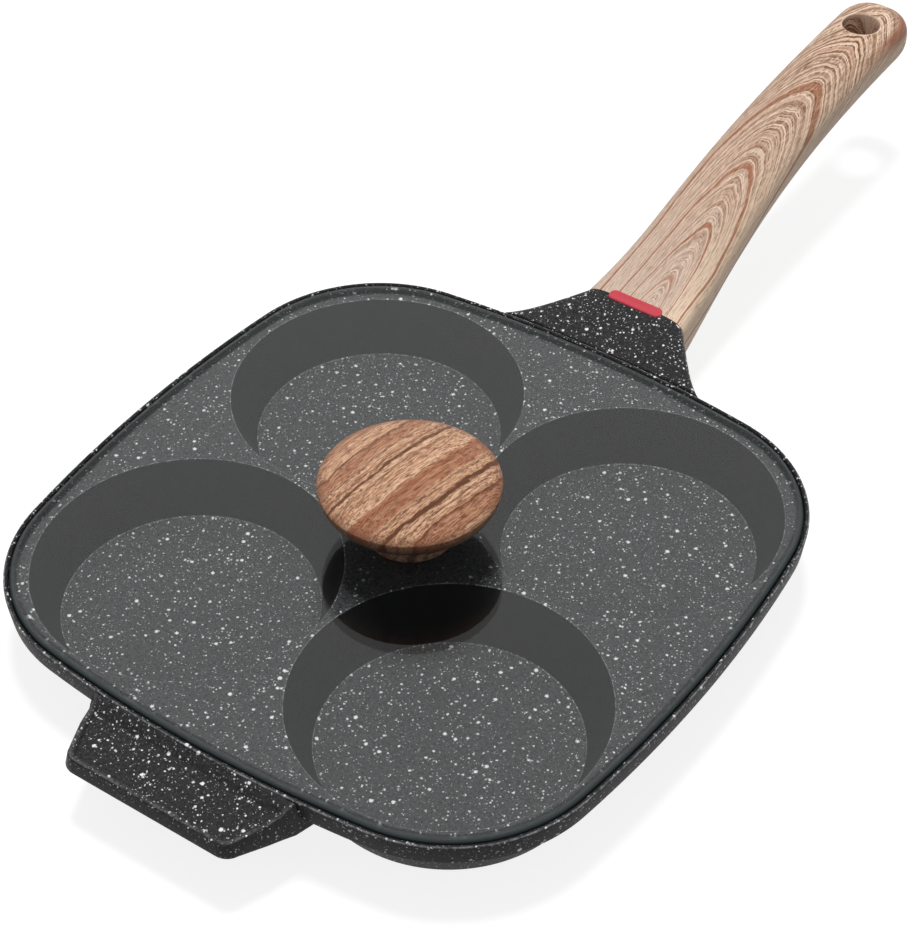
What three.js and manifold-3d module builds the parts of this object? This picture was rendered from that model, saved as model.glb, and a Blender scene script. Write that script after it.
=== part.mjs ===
// Four-cup egg pan: a cast pan with a long handle, a short helper handle and a lift-off glass lid.
// Millimetres, +Z up, the long handle along +X. The pan stands on the steel discs under its cups.
import * as THREE from "three";
import { mergeVertices } from "three/addons/utils/BufferGeometryUtils.js";
import Module from "manifold-3d";

const wasm = await Module();
wasm.setup();

// Fits
const SLIP = 0.3; // clearance round a piece that sits inside another
const FACE = 0.05; // clearance between faces that are screwed together
const OVERLAP = 1; // how far joined shapes run into each other
const CLEAR = 30; // how far cutting shapes run past the piece they cut

// Cast pan
const PAN_HALF = 100; // middle of one side to the pan's centre
const SIDE_BOW = 425; // radius of the slightly bowed sides
const CORNER_ROUND = 48.3; // radius of the corners
const CUP_PITCH = 91.7; // distance between neighbouring cups
const CUP_MOUTH = 44.65; // cup radius at the top
const CUP_FLOOR = 38.35; // cup radius at the floor
const CUP_DEPTH = 17.3;
const CUP_SKIN = 2.6; // thickness of the cup's wall under the plate
const CUP_BASE = 4.4; // thickness of the cup's floor
const CUP_FOOT = 40.2; // outer radius of the cup's bottom
const MOUTH_ROUND = 0.9; // rounded edge between cup and plate
const FLOOR_ROUND = 2; // rounding between cup wall and floor
const PLATE_THICKNESS = 4.2;
const LIP_RISE = 3.1; // height of the rim above the plate
const LIP_WIDTH = 2.3;
const LIP_ROUND = 0.7;
const RIM_DRAFT = 0.8; // how far the rim's lower edge lies inside its top edge

// Steel discs pressed into the cup bottoms
const DISC_RADIUS = 32;
const DISC_THICKNESS = 0.8;
const DISC_PROUD = 0.3; // how far a disc stands below the casting
const DISC_HOLE = 2.2; // radius of the round holes
const DISC_RING = 11.5; // spacing of the rings of holes

// Neck that carries the long handle
const NECK_REACH = 20.6; // from the rim to the handle
const NECK_TAPER = 0.8; // sideways growth for each step towards the rim
const NECK_FLARE = 2.2; // extra spread where the neck meets the rim
const NECK_FLARE_POWER = 6; // how late the spread sets in
const NECK_ROOT = 9; // how far the neck runs in under the plate
const NECK_WALL = 4; // casting left round the hollow under the neck
const TONGUE_LENGTH = 30;
const TONGUE_WIDTH = 17;
const TONGUE_THICKNESS = 7;
const TONGUE_TILT = 14; // degrees, follows the rise of the handle

// Long handle
const HANDLE_LENGTH = 161;
const HANDLE_ROOT_HALF_WIDTH = 18.1;
const HANDLE_TAIL_HALF_WIDTH = 12.6;
const HANDLE_WAIST_POWER = 2.8; // how soon the wide root narrows to the grip
const HANDLE_ROOT_HALF_HEIGHT = 9.2;
const HANDLE_TAIL_HALF_HEIGHT = 8.8;
const HANDLE_BELLY = 0.5; // extra half height along the middle
const HANDLE_ROOT_DROP = 4.7; // section's middle at the neck, below the top of the rim
const HANDLE_RISE = 28.6; // climb of the middle line from neck to tail
const HANDLE_ROOT_PULL = 42.8; // length over which the root's slope acts
const HANDLE_ROOT_SLOPE = 12.3; // degrees
const HANDLE_TAIL_PULL = 103.5;
const HANDLE_TAIL_ROUND = 13.6; // length of the rounded tail
const HANDLE_TAIL_FULLNESS = 0.7; // keeps the tail thick close to its end
const HANG_HOLE = 6.4; // radius of the hanging hole
const HANG_INSET = 19.2; // hole centre to the tail's end
const HANG_MOUTH = 1; // depth of the rounded mouth
const HANG_FLARE = 2; // further widening of the mouth
const HANG_DRAFT = 0.4;
const SECTION_POWER = 2.62; // squareness of the handle's rounded section
const ROOT_SQUARENESS = 2.4; // how much squarer the section is at the neck
const ROOT_BLEND = 36; // length over which the square root turns into the round grip

// Screw and washer that hold the handle on the tongue
const GRIP_SCREW_RADIUS = 2;
const GRIP_SCREW_HEAD = 3.8;
const GRIP_SCREW_HEAD_HEIGHT = 2.2;
const GRIP_WASHER_RADIUS = 4.4;
const GRIP_WASHER_THICKNESS = 0.8;
const GRIP_SCREW_PLACE = 17; // along the tongue, from the joint
const GRIP_CLAMP = 3.2; // handle wall between washer and tongue
const SCREW_EDGE = 1.2; // bevelled edge of a screw head
const SCREW_POINT = 0.6; // bevelled end of a screw
const CROSS_DEPTH = 1.3; // depth of the cross recess
const CROSS_SLOT = 0.45; // width of the recess for each unit of its reach

// Red inlay across the joint of neck and handle
const INLAY_LENGTH = 19.4;
const INLAY_WIDTH = 4;
const INLAY_DEPTH = 1.6;
const INLAY_PROUD = 0.35;
const INLAY_OVERLAP = 1.8; // part of the width that lies on the neck
const INLAY_FIT = 0.15;

// Helper handle opposite the long one
const HELPER_REACH = 20.6;
const HELPER_ROOT_HALF_WIDTH = 35;
const HELPER_TIP_HALF_WIDTH = 29.5;
const HELPER_CORNER = 5;
const HELPER_TIP_THICKNESS = 5.2;
const HELPER_ROOT_THICKNESS = 10;
const HELPER_DROP = 2.4; // its border lies this far below the rim
const HELPER_BORDER = 2;
const HELPER_RECESS = 0.8;
const HELPER_DRAFT = 1;
const HELPER_SAG = 1.2; // fullness of the curved underside
const HELPER_ROOT = 8; // how far the tab runs in under the plate

// Glass lid
const GLASS_THICKNESS = 3.5;
const GLASS_EDGE_GAP = 0.5; // between the glass and the lip
const GLASS_CHAMFER = 1.4;
const LID_SEAT = 0.3; // between the glass and the plate

// Knob of the lid
const KNOB_HEIGHT = 24.6;
const KNOB_RADIUS = 26.5;
const KNOB_WIDEST_AT = 19.4; // height of the head's widest ring over the glass
const KNOB_EDGE_DROP = 10.5; // how far the full edge reaches below the widest ring
const KNOB_EDGE_TURN = 0.4; // how far the full edge turns in
const KNOB_STEM_RISE = 6; // how far the stem stays slim above the waist
const KNOB_BULGE = 1.4; // how far the edge stays full above the widest ring
const KNOB_SHOULDER = 16.4; // radius where the dome flattens
const KNOB_FOOT = 13.4;
const KNOB_FOOT_EDGE = 0.6;
const KNOB_FOOT_HEIGHT = 2;
const KNOB_WAIST = 9.6;
const KNOB_WAIST_AT = 6.5;
const KNOB_FOOT_RELIEF = 1; // depth of the pocket for the gasket
const INSERT_RADIUS = 3.9;
const INSERT_LENGTH = 12;
const KNOB_SCREW_RADIUS = 2;
const KNOB_SCREW_HEAD = 4.2;
const KNOB_SCREW_HEAD_HEIGHT = 2.2;
const KNOB_SCREW_GRIP = 8; // thread length inside the insert
const GASKET_RADIUS = 7.6;
const GASKET_THICKNESS = 0.8;
const KNOB_WASHER_RADIUS = 6.6;
const KNOB_WASHER_THICKNESS = 0.8;
const GLASS_HOLE_SPARE = 0.9; // glass hole beyond the screw
const DIMPLE_SPARE = 1.4; // room round and under the screw in the casting
const DIMPLE_ROUND = 1;
const DIMPLE_DRAFT = 0.5;

// Heights that follow from the sizes above
const castBottom = DISC_PROUD;
const floorTop = castBottom + CUP_BASE;
const plateTop = floorTop + CUP_DEPTH;
const plateBottom = plateTop - PLATE_THICKNESS;
const rimTop = plateTop + LIP_RISE;
const glassBottom = plateTop + LID_SEAT;
const glassTop = glassBottom + GLASS_THICKNESS;
const rootLevel = rimTop - HANDLE_ROOT_DROP;
const jointX = PAN_HALF + NECK_REACH;
const tailX = jointX + HANDLE_LENGTH;
const helperX = PAN_HALF + HELPER_REACH;
const frameShift = (helperX - tailX) / 2;

// Closed three.js geometry to a solid for cutting and joining.
function solidOf(geometry) {
  const bare = geometry.index ? geometry.toNonIndexed() : geometry.clone();
  bare.deleteAttribute("normal");
  bare.deleteAttribute("uv");
  const merged = mergeVertices(bare, 1e-4);
  const corners = merged.index.array;
  const kept = [];
  for (let i = 0; i < corners.length; i += 3) {
    const [a, b, c] = [corners[i], corners[i + 1], corners[i + 2]];
    if (a !== b && b !== c && c !== a) kept.push(a, b, c);
  }
  const vertProperties = merged.attributes.position.array;
  const triVerts = new Uint32Array(kept);
  return new wasm.Manifold(new wasm.Mesh({ numProp: 3, vertProperties, triVerts }));
}

function geometryOf(solid) {
  const mesh = solid.getMesh();
  const geometry = new THREE.BufferGeometry();
  geometry.setAttribute("position", new THREE.BufferAttribute(mesh.vertProperties, 3));
  geometry.setIndex(new THREE.BufferAttribute(mesh.triVerts, 1));
  const flat = geometry.toNonIndexed();
  flat.computeVertexNormals();
  return flat;
}

// Solid through a stack of rings with equal counts of points, closed by a fan at each end.
function loft(rings) {
  const count = rings[0].length;
  const points = rings.flat();
  const faces = [];
  for (let r = 0; r + 1 < rings.length; r += 1) {
    for (let i = 0; i < count; i += 1) {
      const a = r * count + i;
      const b = r * count + ((i + 1) % count);
      faces.push(a, b, b + count, a, b + count, a + count);
    }
  }
  const ends = [rings[0], rings[rings.length - 1]];
  ends.forEach((ring, end) => {
    const middle = points.length;
    const base = end * (rings.length - 1) * count;
    const sum = ring.reduce((total, p) => total.add(p), new THREE.Vector3());
    points.push(sum.divideScalar(count));
    for (let i = 0; i < count; i += 1) {
      const a = base + i;
      const b = base + ((i + 1) % count);
      if (end) faces.push(middle, a, b);
      else faces.push(middle, b, a);
    }
  });
  const geometry = new THREE.BufferGeometry().setFromPoints(points);
  geometry.setIndex(faces);
  return solidOf(geometry);
}

// Solid of revolution about Z. The profile runs from the axis outwards, up and back to the axis.
function turned(profile, segments) {
  const points = profile.map(([radius, height]) => new THREE.Vector2(radius, height));
  return solidOf(new THREE.LatheGeometry(points, segments).rotateX(Math.PI / 2));
}

function ringProfile(inner, outer, low, high) {
  return [[inner, low], [outer, low], [outer, high], [inner, high], [inner, low]];
}

function cylinder(radius, low, high, segments) {
  return turned([[0, low], [radius, low], [radius, high], [0, high]], segments);
}

// Points of an arc in a profile, angles in degrees.
function arc(centreX, centreY, radius, from, to, steps) {
  return Array.from({ length: steps + 1 }, (_, i) => {
    const angle = THREE.MathUtils.degToRad(from + ((to - from) * i) / steps);
    return [centreX + radius * Math.cos(angle), centreY + radius * Math.sin(angle)];
  });
}

// The pan's outline: four slightly bowed sides joined by tangent corner arcs, moved inwards by inset.
function panRing(inset, height) {
  const run = SIDE_BOW - PAN_HALF;
  const gap = SIDE_BOW - CORNER_ROUND;
  const corner = (Math.sqrt(2 * gap * gap - run * run) - run) / 2;
  const turn = THREE.MathUtils.radToDeg(Math.atan2(corner, corner + run));
  const quarter = [
    ...arc(-run, 0, SIDE_BOW - inset, -turn, turn, 4).slice(0, -1),
    ...arc(corner, corner, CORNER_ROUND - inset, turn, 90 - turn, 9).slice(0, -1),
  ];
  const upright = new THREE.Vector3(0, 0, 1);
  const ring = [];
  for (let side = 0; side < 4; side += 1) {
    for (const [x, y] of quarter) {
      ring.push(new THREE.Vector3(x, y, height).applyAxisAngle(upright, (side * Math.PI) / 2));
    }
  }
  return ring;
}

// Stack of pan outlines given as [inset, height] pairs, lowest first.
function panStack(profile) {
  return loft(profile.map(([inset, height]) => panRing(inset, height)));
}

// Rounded section of neck and handle in the plane of one x.
function sectionRing(x, halfWidth, halfHeight, level, power) {
  return Array.from({ length: 28 }, (_, i) => {
    const angle = (i * 2 * Math.PI) / 28;
    const side = Math.cos(angle);
    const rise = Math.sin(angle);
    const y = halfWidth * Math.sign(side) * Math.abs(side) ** (2 / power);
    const z = level + halfHeight * Math.sign(rise) * Math.abs(rise) ** (2 / power);
    return new THREE.Vector3(x, y, z);
  });
}

// Four cup centres, and one solid repeated at each of them.
const cupCentres = [];
for (const across of [1, -1]) {
  for (const along of [1, -1]) {
    cupCentres.push([(along * CUP_PITCH) / 2, (across * CUP_PITCH) / 2]);
  }
}
function atCups(solid) {
  return wasm.Manifold.union(cupCentres.map(([x, y]) => solid.translate([x, y, 0])));
}

// Middle line and section of the long handle at a share of its length.
const slope = THREE.MathUtils.degToRad(HANDLE_ROOT_SLOPE);
const tailLevel = rootLevel + HANDLE_RISE;
const rootPull = new THREE.Vector2(HANDLE_ROOT_PULL, 0).rotateAround(new THREE.Vector2(), slope);
const middleLine = new THREE.CubicBezierCurve(
  new THREE.Vector2(jointX, rootLevel),
  new THREE.Vector2(jointX, rootLevel).add(rootPull),
  new THREE.Vector2(tailX - HANDLE_TAIL_PULL, tailLevel),
  new THREE.Vector2(tailX, tailLevel),
);
function handleRing(share, grow) {
  const place = middleLine.getPoint(share);
  const along = (place.x - jointX) / HANDLE_LENGTH;
  const spare = Math.max(1 - (tailX - place.x) / HANDLE_TAIL_ROUND, 0);
  const end = Math.max(1 - spare ** SECTION_POWER, 0) ** (1 / SECTION_POWER);
  const widening = HANDLE_ROOT_HALF_WIDTH - HANDLE_TAIL_HALF_WIDTH;
  const halfWidth = HANDLE_TAIL_HALF_WIDTH + widening * Math.max(1 - along, 0) ** HANDLE_WAIST_POWER;
  const straight = THREE.MathUtils.lerp(HANDLE_ROOT_HALF_HEIGHT, HANDLE_TAIL_HALF_HEIGHT, along);
  const halfHeight = straight + HANDLE_BELLY * Math.sin(Math.PI * along);
  const tallness = halfHeight * end ** HANDLE_TAIL_FULLNESS;
  const power = SECTION_POWER + ROOT_SQUARENESS * Math.max(1 - (place.x - jointX) / ROOT_BLEND, 0) ** 2;
  return sectionRing(place.x, halfWidth * end + grow, tallness + grow, place.y, power);
}

// Frame of the tongue: its root at the joint, tilted with the handle.
const tilt = THREE.MathUtils.degToRad(TONGUE_TILT);
function inTongue(geometry) {
  return geometry.rotateY(-tilt).translate(jointX, 0, rootLevel);
}
function tongueBox(spare) {
  const length = TONGUE_LENGTH + NECK_WALL + spare;
  const box = new THREE.BoxGeometry(length, TONGUE_WIDTH + 2 * spare, TONGUE_THICKNESS + 2 * spare);
  return solidOf(inTongue(box.translate(length / 2 - NECK_WALL, 0, 0)));
}
function tongueRod(radius, low, high, segments) {
  const rod = new THREE.CylinderGeometry(radius, radius, high - low, segments).rotateX(Math.PI / 2);
  return solidOf(inTongue(rod.translate(GRIP_SCREW_PLACE, 0, (low + high) / 2)));
}
const tongueUnder = -TONGUE_THICKNESS / 2;
const washerTop = tongueUnder - SLIP - GRIP_CLAMP - FACE;
const washerBottom = washerTop - GRIP_WASHER_THICKNESS;
const headTop = washerBottom - FACE;

// Cast pan: plate with its rim, cups, neck with tongue, and helper handle.
const rimFoot = RIM_DRAFT + LIP_ROUND;
let pan = panStack([
  [rimFoot, plateBottom],
  [RIM_DRAFT, plateBottom + LIP_ROUND],
  [0, rimTop - LIP_ROUND],
  ...arc(LIP_ROUND, rimTop - LIP_ROUND, LIP_ROUND, 150, 90, 2),
]);

const lean = THREE.MathUtils.radToDeg(Math.atan2(CUP_MOUTH - CUP_FLOOR, CUP_DEPTH));
const skinOut = CUP_SKIN / Math.cos(THREE.MathUtils.degToRad(lean));
const wallGrowth = (CUP_MOUTH - CUP_FLOOR) / CUP_DEPTH;
const jointLevel = plateBottom + OVERLAP;
const cupOutside = turned([
  [0, castBottom],
  [CUP_FOOT - FLOOR_ROUND, castBottom],
  ...arc(CUP_FOOT - FLOOR_ROUND, castBottom + FLOOR_ROUND, FLOOR_ROUND, -60, -lean, 2),
  [CUP_FLOOR + skinOut + (jointLevel - floorTop) * wallGrowth, jointLevel],
  [0, jointLevel],
], 40);
const cupInside = turned([
  [0, floorTop],
  [CUP_FLOOR - FLOOR_ROUND, floorTop],
  ...arc(CUP_FLOOR - FLOOR_ROUND, floorTop + FLOOR_ROUND, FLOOR_ROUND, -60, -lean, 2),
  ...arc(CUP_MOUTH + MOUTH_ROUND, plateTop - MOUTH_ROUND, MOUTH_ROUND, 180 - lean, 90, 2),
  [CUP_MOUTH + MOUTH_ROUND, plateTop + CLEAR],
  [0, plateTop + CLEAR],
], 40);

const neckRings = [];
const neckStart = NECK_REACH + NECK_ROOT;
for (let i = 0; i <= 10; i += 1) {
  const back = neckStart * (1 - i / 10) ** 1.2;
  const share = Math.min(back / NECK_REACH, 1);
  const flare = NECK_FLARE * (back / NECK_REACH) ** NECK_FLARE_POWER;
  const halfWidth = HANDLE_ROOT_HALF_WIDTH + NECK_TAPER * back + flare;
  const crown = THREE.MathUtils.lerp(rootLevel + HANDLE_ROOT_HALF_HEIGHT, rimTop, share);
  const keelRoot = rootLevel - HANDLE_ROOT_HALF_HEIGHT;
  const keel = THREE.MathUtils.lerp(keelRoot, jointLevel, (back / neckStart) ** 2);
  const power = SECTION_POWER + ROOT_SQUARENESS;
  neckRings.push(sectionRing(jointX - back, halfWidth, (crown - keel) / 2, (crown + keel) / 2, power));
}
const neckHollow = new THREE.Shape();
const hollowFar = jointX - NECK_WALL;
const hollowNear = jointX - NECK_REACH + NECK_WALL;
const hollowSlim = HANDLE_ROOT_HALF_WIDTH - NECK_WALL;
const hollowWide = hollowSlim + NECK_TAPER * (NECK_REACH - 2 * NECK_WALL);
neckHollow.moveTo(hollowNear, -hollowWide);
neckHollow.lineTo(hollowFar, -hollowSlim);
neckHollow.lineTo(hollowFar, hollowSlim);
neckHollow.lineTo(hollowNear, hollowWide);
const hollowTop = rimTop - NECK_WALL;
const hollowCut = new THREE.ExtrudeGeometry(neckHollow, { depth: hollowTop + CLEAR, bevelEnabled: false });
const neck = loft(neckRings).subtract(solidOf(hollowCut.translate(0, 0, -CLEAR)));

// Helper handle: a flat tab with a raised border and a sloping underside.
function helperRing(inset, height) {
  const spread = HELPER_ROOT_HALF_WIDTH - HELPER_TIP_HALF_WIDTH;
  const normal = 90 + THREE.MathUtils.radToDeg(Math.atan2(spread, HELPER_REACH));
  const tip = HELPER_CORNER - helperX;
  const side = HELPER_TIP_HALF_WIDTH - HELPER_CORNER;
  const half = [
    [HELPER_ROOT - PAN_HALF, HELPER_ROOT_HALF_WIDTH + (spread * HELPER_ROOT) / HELPER_REACH - inset],
    ...arc(tip, side, HELPER_CORNER - inset, normal, 180, 5),
  ];
  const other = half.map(([x, y]) => [x, -y]).reverse();
  return [...half, ...other].map(([x, y]) => new THREE.Vector3(x, y, height));
}
const helperTop = rimTop - HELPER_DROP;
const helperSide = new THREE.Shape();
helperSide.moveTo(HELPER_ROOT - PAN_HALF, helperTop - HELPER_ROOT_THICKNESS);
helperSide.lineTo(-PAN_HALF, helperTop - HELPER_ROOT_THICKNESS);
helperSide.quadraticCurveTo(
  -PAN_HALF - HELPER_REACH / 2, helperTop - HELPER_TIP_THICKNESS - HELPER_SAG,
  -helperX - OVERLAP, helperTop - HELPER_TIP_THICKNESS,
);
helperSide.lineTo(-helperX - OVERLAP, helperTop + OVERLAP);
helperSide.lineTo(HELPER_ROOT - PAN_HALF, helperTop + OVERLAP);
const helperSlab = new THREE.ExtrudeGeometry(helperSide, {
  depth: 4 * PAN_HALF,
  bevelEnabled: false,
  curveSegments: 6,
});
const helperBlock = loft([
  helperRing(0, helperTop - HELPER_ROOT_THICKNESS - OVERLAP),
  helperRing(HELPER_DRAFT / 2, helperTop - HELPER_RECESS),
  helperRing(HELPER_DRAFT, helperTop),
]);
const helperCut = loft([
  helperRing(HELPER_BORDER + HELPER_DRAFT, helperTop - HELPER_RECESS),
  helperRing(HELPER_BORDER, helperTop + CLEAR),
]);
const helper = helperBlock
  .intersect(solidOf(helperSlab.rotateX(Math.PI / 2).translate(0, 2 * PAN_HALF, 0)))
  .subtract(helperCut);

const lidRecess = panStack([
  [LIP_WIDTH + LIP_ROUND, plateTop],
  [LIP_WIDTH, plateTop + LIP_ROUND],
  [LIP_WIDTH, rimTop - LIP_ROUND],
  [LIP_WIDTH - LIP_ROUND, rimTop],
  [LIP_WIDTH - LIP_ROUND, rimTop + CLEAR],
]);

// Screw stack under the glass and the dimple in the plate that takes it.
const lowerGasketTop = glassBottom - FACE;
const knobWasherTop = lowerGasketTop - GASKET_THICKNESS - FACE;
const knobHeadTop = knobWasherTop - KNOB_WASHER_THICKNESS - FACE;
const knobHeadBottom = knobHeadTop - KNOB_SCREW_HEAD_HEIGHT;
const dimpleFloor = knobHeadBottom - DIMPLE_SPARE;
const dimpleRadius = GASKET_RADIUS + DIMPLE_SPARE;
const dimple = turned([
  [0, dimpleFloor],
  [dimpleRadius - DIMPLE_ROUND, dimpleFloor],
  [dimpleRadius, dimpleFloor + DIMPLE_ROUND],
  [dimpleRadius + DIMPLE_DRAFT, plateTop],
  [dimpleRadius + DIMPLE_DRAFT, plateTop + CLEAR],
  [0, plateTop + CLEAR],
], 32);
const dimpleBoss = turned([
  [0, dimpleFloor - CUP_SKIN],
  [dimpleRadius + DIMPLE_ROUND, dimpleFloor - CUP_SKIN],
  [dimpleRadius + CUP_SKIN, dimpleFloor],
  [dimpleRadius + CUP_SKIN + DIMPLE_ROUND, jointLevel],
  [0, jointLevel],
], 32);

// Red inlay: a bar with round ends that follows the curve of neck and handle.
function inlayPrism(spare, low) {
  const radius = INLAY_WIDTH / 2 + spare;
  const reach = (INLAY_LENGTH - INLAY_WIDTH) / 2;
  const bar = new THREE.Shape();
  bar.absarc(0, reach, radius, 0, Math.PI, false);
  bar.absarc(0, -reach, radius, Math.PI, 2 * Math.PI, false);
  const prism = new THREE.ExtrudeGeometry(bar, { depth: CLEAR, bevelEnabled: false, curveSegments: 10 });
  return solidOf(prism.translate(jointX + INLAY_WIDTH / 2 - INLAY_OVERLAP, 0, low));
}
const inlayFloor = rootLevel + HANDLE_ROOT_HALF_HEIGHT - INLAY_DEPTH;
const inlayPocket = inlayPrism(INLAY_FIT, inlayFloor);

const handleShares = Array.from({ length: 15 }, (_, i) => i / 16);
for (const angle of [15, 30, 45, 60, 75, 88]) {
  handleShares.push(1 - (1 - Math.sin(THREE.MathUtils.degToRad(angle))) / 16);
}
function handleLoft(grow) {
  return loft(handleShares.map((share) => handleRing(share, grow)));
}
function inlayCrown(grow) {
  const lead = handleRing(0, grow).map((p) => p.setX(jointX - INLAY_WIDTH));
  return loft([lead, ...handleShares.slice(0, 4).map((share) => handleRing(share, grow))]);
}
const inlay = inlayPrism(0, inlayFloor + FACE).intersect(inlayCrown(INLAY_PROUD));

pan = pan
  .add(atCups(cupOutside))
  .add(neck)
  .add(helper)
  .add(dimpleBoss)
  .subtract(lidRecess)
  .subtract(atCups(cupInside))
  .subtract(atCups(cylinder(DISC_RADIUS + SLIP, -CLEAR, DISC_THICKNESS + FACE, 36)))
  .subtract(dimple)
  .add(tongueBox(0).trimByPlane([1, 0, 0], jointX - NECK_WALL))
  .subtract(inlayPocket)
  .subtract(tongueRod(GRIP_SCREW_RADIUS + SLIP, tongueUnder - OVERLAP, OVERLAP - tongueUnder, 16));

// Steel disc with rings of round holes.
const discShape = new THREE.Shape().absarc(0, 0, DISC_RADIUS, 0, 2 * Math.PI, false);
for (let ring = 0; ring < 3; ring += 1) {
  const count = ring === 0 ? 1 : ring * 6;
  for (let i = 0; i < count; i += 1) {
    const angle = (i * 2 * Math.PI) / count;
    const middle = new THREE.Vector2(ring * DISC_RING, 0).rotateAround(new THREE.Vector2(), angle);
    const hole = new THREE.Path();
    hole.absarc(middle.x, middle.y, DISC_HOLE, 0, 2 * Math.PI, true);
    discShape.holes.push(hole);
  }
}

// Points along the outline, with the closing point left out.
function openPoints(path, divisions) {
  return path.getPoints(divisions).slice(0, -1);
}
const discOutline = new THREE.Shape(openPoints(discShape, 18));
discOutline.holes = discShape.holes.map((hole) => new THREE.Path(openPoints(hole, 3)));
const discPlate = { depth: DISC_THICKNESS, bevelEnabled: false };
const disc = solidOf(new THREE.ExtrudeGeometry(discOutline, discPlate));

// Long handle with its socket, screw pocket, inlay pocket and hanging hole.
const hangX = tailX - HANG_INSET;
const hangLevel = tailLevel + HANDLE_TAIL_HALF_HEIGHT;
const hangLow = tailLevel - HANDLE_TAIL_HALF_HEIGHT;
const hangWide = HANG_HOLE + HANG_MOUTH + HANG_FLARE;
const hangHole = turned([
  [0, hangLow - HANG_FLARE],
  [hangWide, hangLow - HANG_FLARE],
  [HANG_HOLE + HANG_DRAFT, hangLow + HANG_MOUTH],
  [HANG_HOLE, tailLevel],
  [HANG_HOLE + HANG_DRAFT, hangLevel - HANG_MOUTH],
  [hangWide, hangLevel + HANG_FLARE],
  [0, hangLevel + HANG_FLARE],
], 24).translate([hangX, 0, 0]);
const handle = handleLoft(0)
  .trimByPlane([1, 0, 0], jointX + SLIP)
  .subtract(tongueBox(SLIP))
  .subtract(tongueRod(GRIP_SCREW_RADIUS + SLIP, headTop - OVERLAP, 0, 16))
  .subtract(tongueRod(GRIP_WASHER_RADIUS + SLIP, -CLEAR, washerTop + FACE, 20))
  .subtract(inlayPocket)
  .subtract(hangHole);

// Cross recess of a screw, cut from below.
function crossCut(size, low, high) {
  const bar = new THREE.BoxGeometry(size * 2, size * CROSS_SLOT, high - low);
  const one = solidOf(bar.translate(0, 0, (low + high) / 2));
  return one.add(one.rotate([0, 0, 90]));
}
function intoTongue(solid) {
  const along = solid.translate([GRIP_SCREW_PLACE, 0, 0]).rotate([0, -TONGUE_TILT, 0]);
  return along.translate([jointX, 0, rootLevel]);
}
// Screw with a bevelled head below and its shank upwards.
function screw(radius, head, low, headTop, tip) {
  const body = turned([
    [0, low],
    [head - SCREW_EDGE, low],
    [head, low + SCREW_EDGE],
    [head, headTop],
    [radius, headTop],
    [radius, tip - SCREW_POINT],
    [radius - SCREW_POINT, tip],
    [0, tip],
  ], 20);
  return body.subtract(crossCut(head / 2, low - OVERLAP, low + CROSS_DEPTH));
}
const gripHeadBottom = headTop - GRIP_SCREW_HEAD_HEIGHT;
const gripTip = TONGUE_THICKNESS / 2 - FACE;
const gripScrew = intoTongue(screw(GRIP_SCREW_RADIUS, GRIP_SCREW_HEAD, gripHeadBottom, headTop, gripTip));
const gripWasher = intoTongue(
  turned(ringProfile(GRIP_SCREW_RADIUS + SLIP, GRIP_WASHER_RADIUS, washerBottom, washerTop), 20),
);

// Glass lid with ground edges and a hole for the knob's screw.
const glassInset = LIP_WIDTH + GLASS_EDGE_GAP;
const glass = panStack([
  [glassInset + GLASS_CHAMFER, glassBottom],
  [glassInset, glassBottom + GLASS_CHAMFER],
  [glassInset, glassTop - GLASS_CHAMFER],
  [glassInset + GLASS_CHAMFER, glassTop],
]).subtract(cylinder(KNOB_SCREW_RADIUS + GLASS_HOLE_SPARE, glassBottom - OVERLAP, glassTop + OVERLAP, 24));

// Knob: a turned mushroom with a pocket for the gasket and a bore for the threaded insert.
const footLevel = glassTop + SLIP;
const crownTop = glassTop + KNOB_HEIGHT;
const widest = glassTop + KNOB_WIDEST_AT;
const waist = glassTop + KNOB_WAIST_AT;
const boreTop = footLevel + KNOB_FOOT_RELIEF + INSERT_LENGTH + SLIP;
const pocketTop = glassTop + FACE + GASKET_THICKNESS + FACE;
const underside = new THREE.CubicBezierCurve(
  new THREE.Vector2(KNOB_WAIST, waist),
  new THREE.Vector2(KNOB_WAIST, waist + KNOB_STEM_RISE),
  new THREE.Vector2(KNOB_RADIUS - KNOB_EDGE_TURN, widest - KNOB_EDGE_DROP),
  new THREE.Vector2(KNOB_RADIUS, widest),
);
const crown = new THREE.CubicBezierCurve(
  new THREE.Vector2(KNOB_RADIUS, widest),
  new THREE.Vector2(KNOB_RADIUS, widest + KNOB_BULGE),
  new THREE.Vector2(KNOB_SHOULDER, crownTop),
  new THREE.Vector2(0, crownTop),
);
const knob = turned([
  [0, boreTop],
  [INSERT_RADIUS + SLIP, boreTop],
  [INSERT_RADIUS + SLIP, pocketTop],
  [GASKET_RADIUS + SLIP, pocketTop],
  [GASKET_RADIUS + SLIP, footLevel],
  [KNOB_FOOT - KNOB_FOOT_EDGE, footLevel],
  [KNOB_FOOT, footLevel + KNOB_FOOT_EDGE],
  [KNOB_FOOT - KNOB_FOOT_EDGE, footLevel + KNOB_FOOT_HEIGHT],
  ...underside.getPoints(7).map((p) => [p.x, p.y]),
  ...crown.getPoints(7).slice(1).map((p) => [p.x, p.y]),
], 40);

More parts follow.
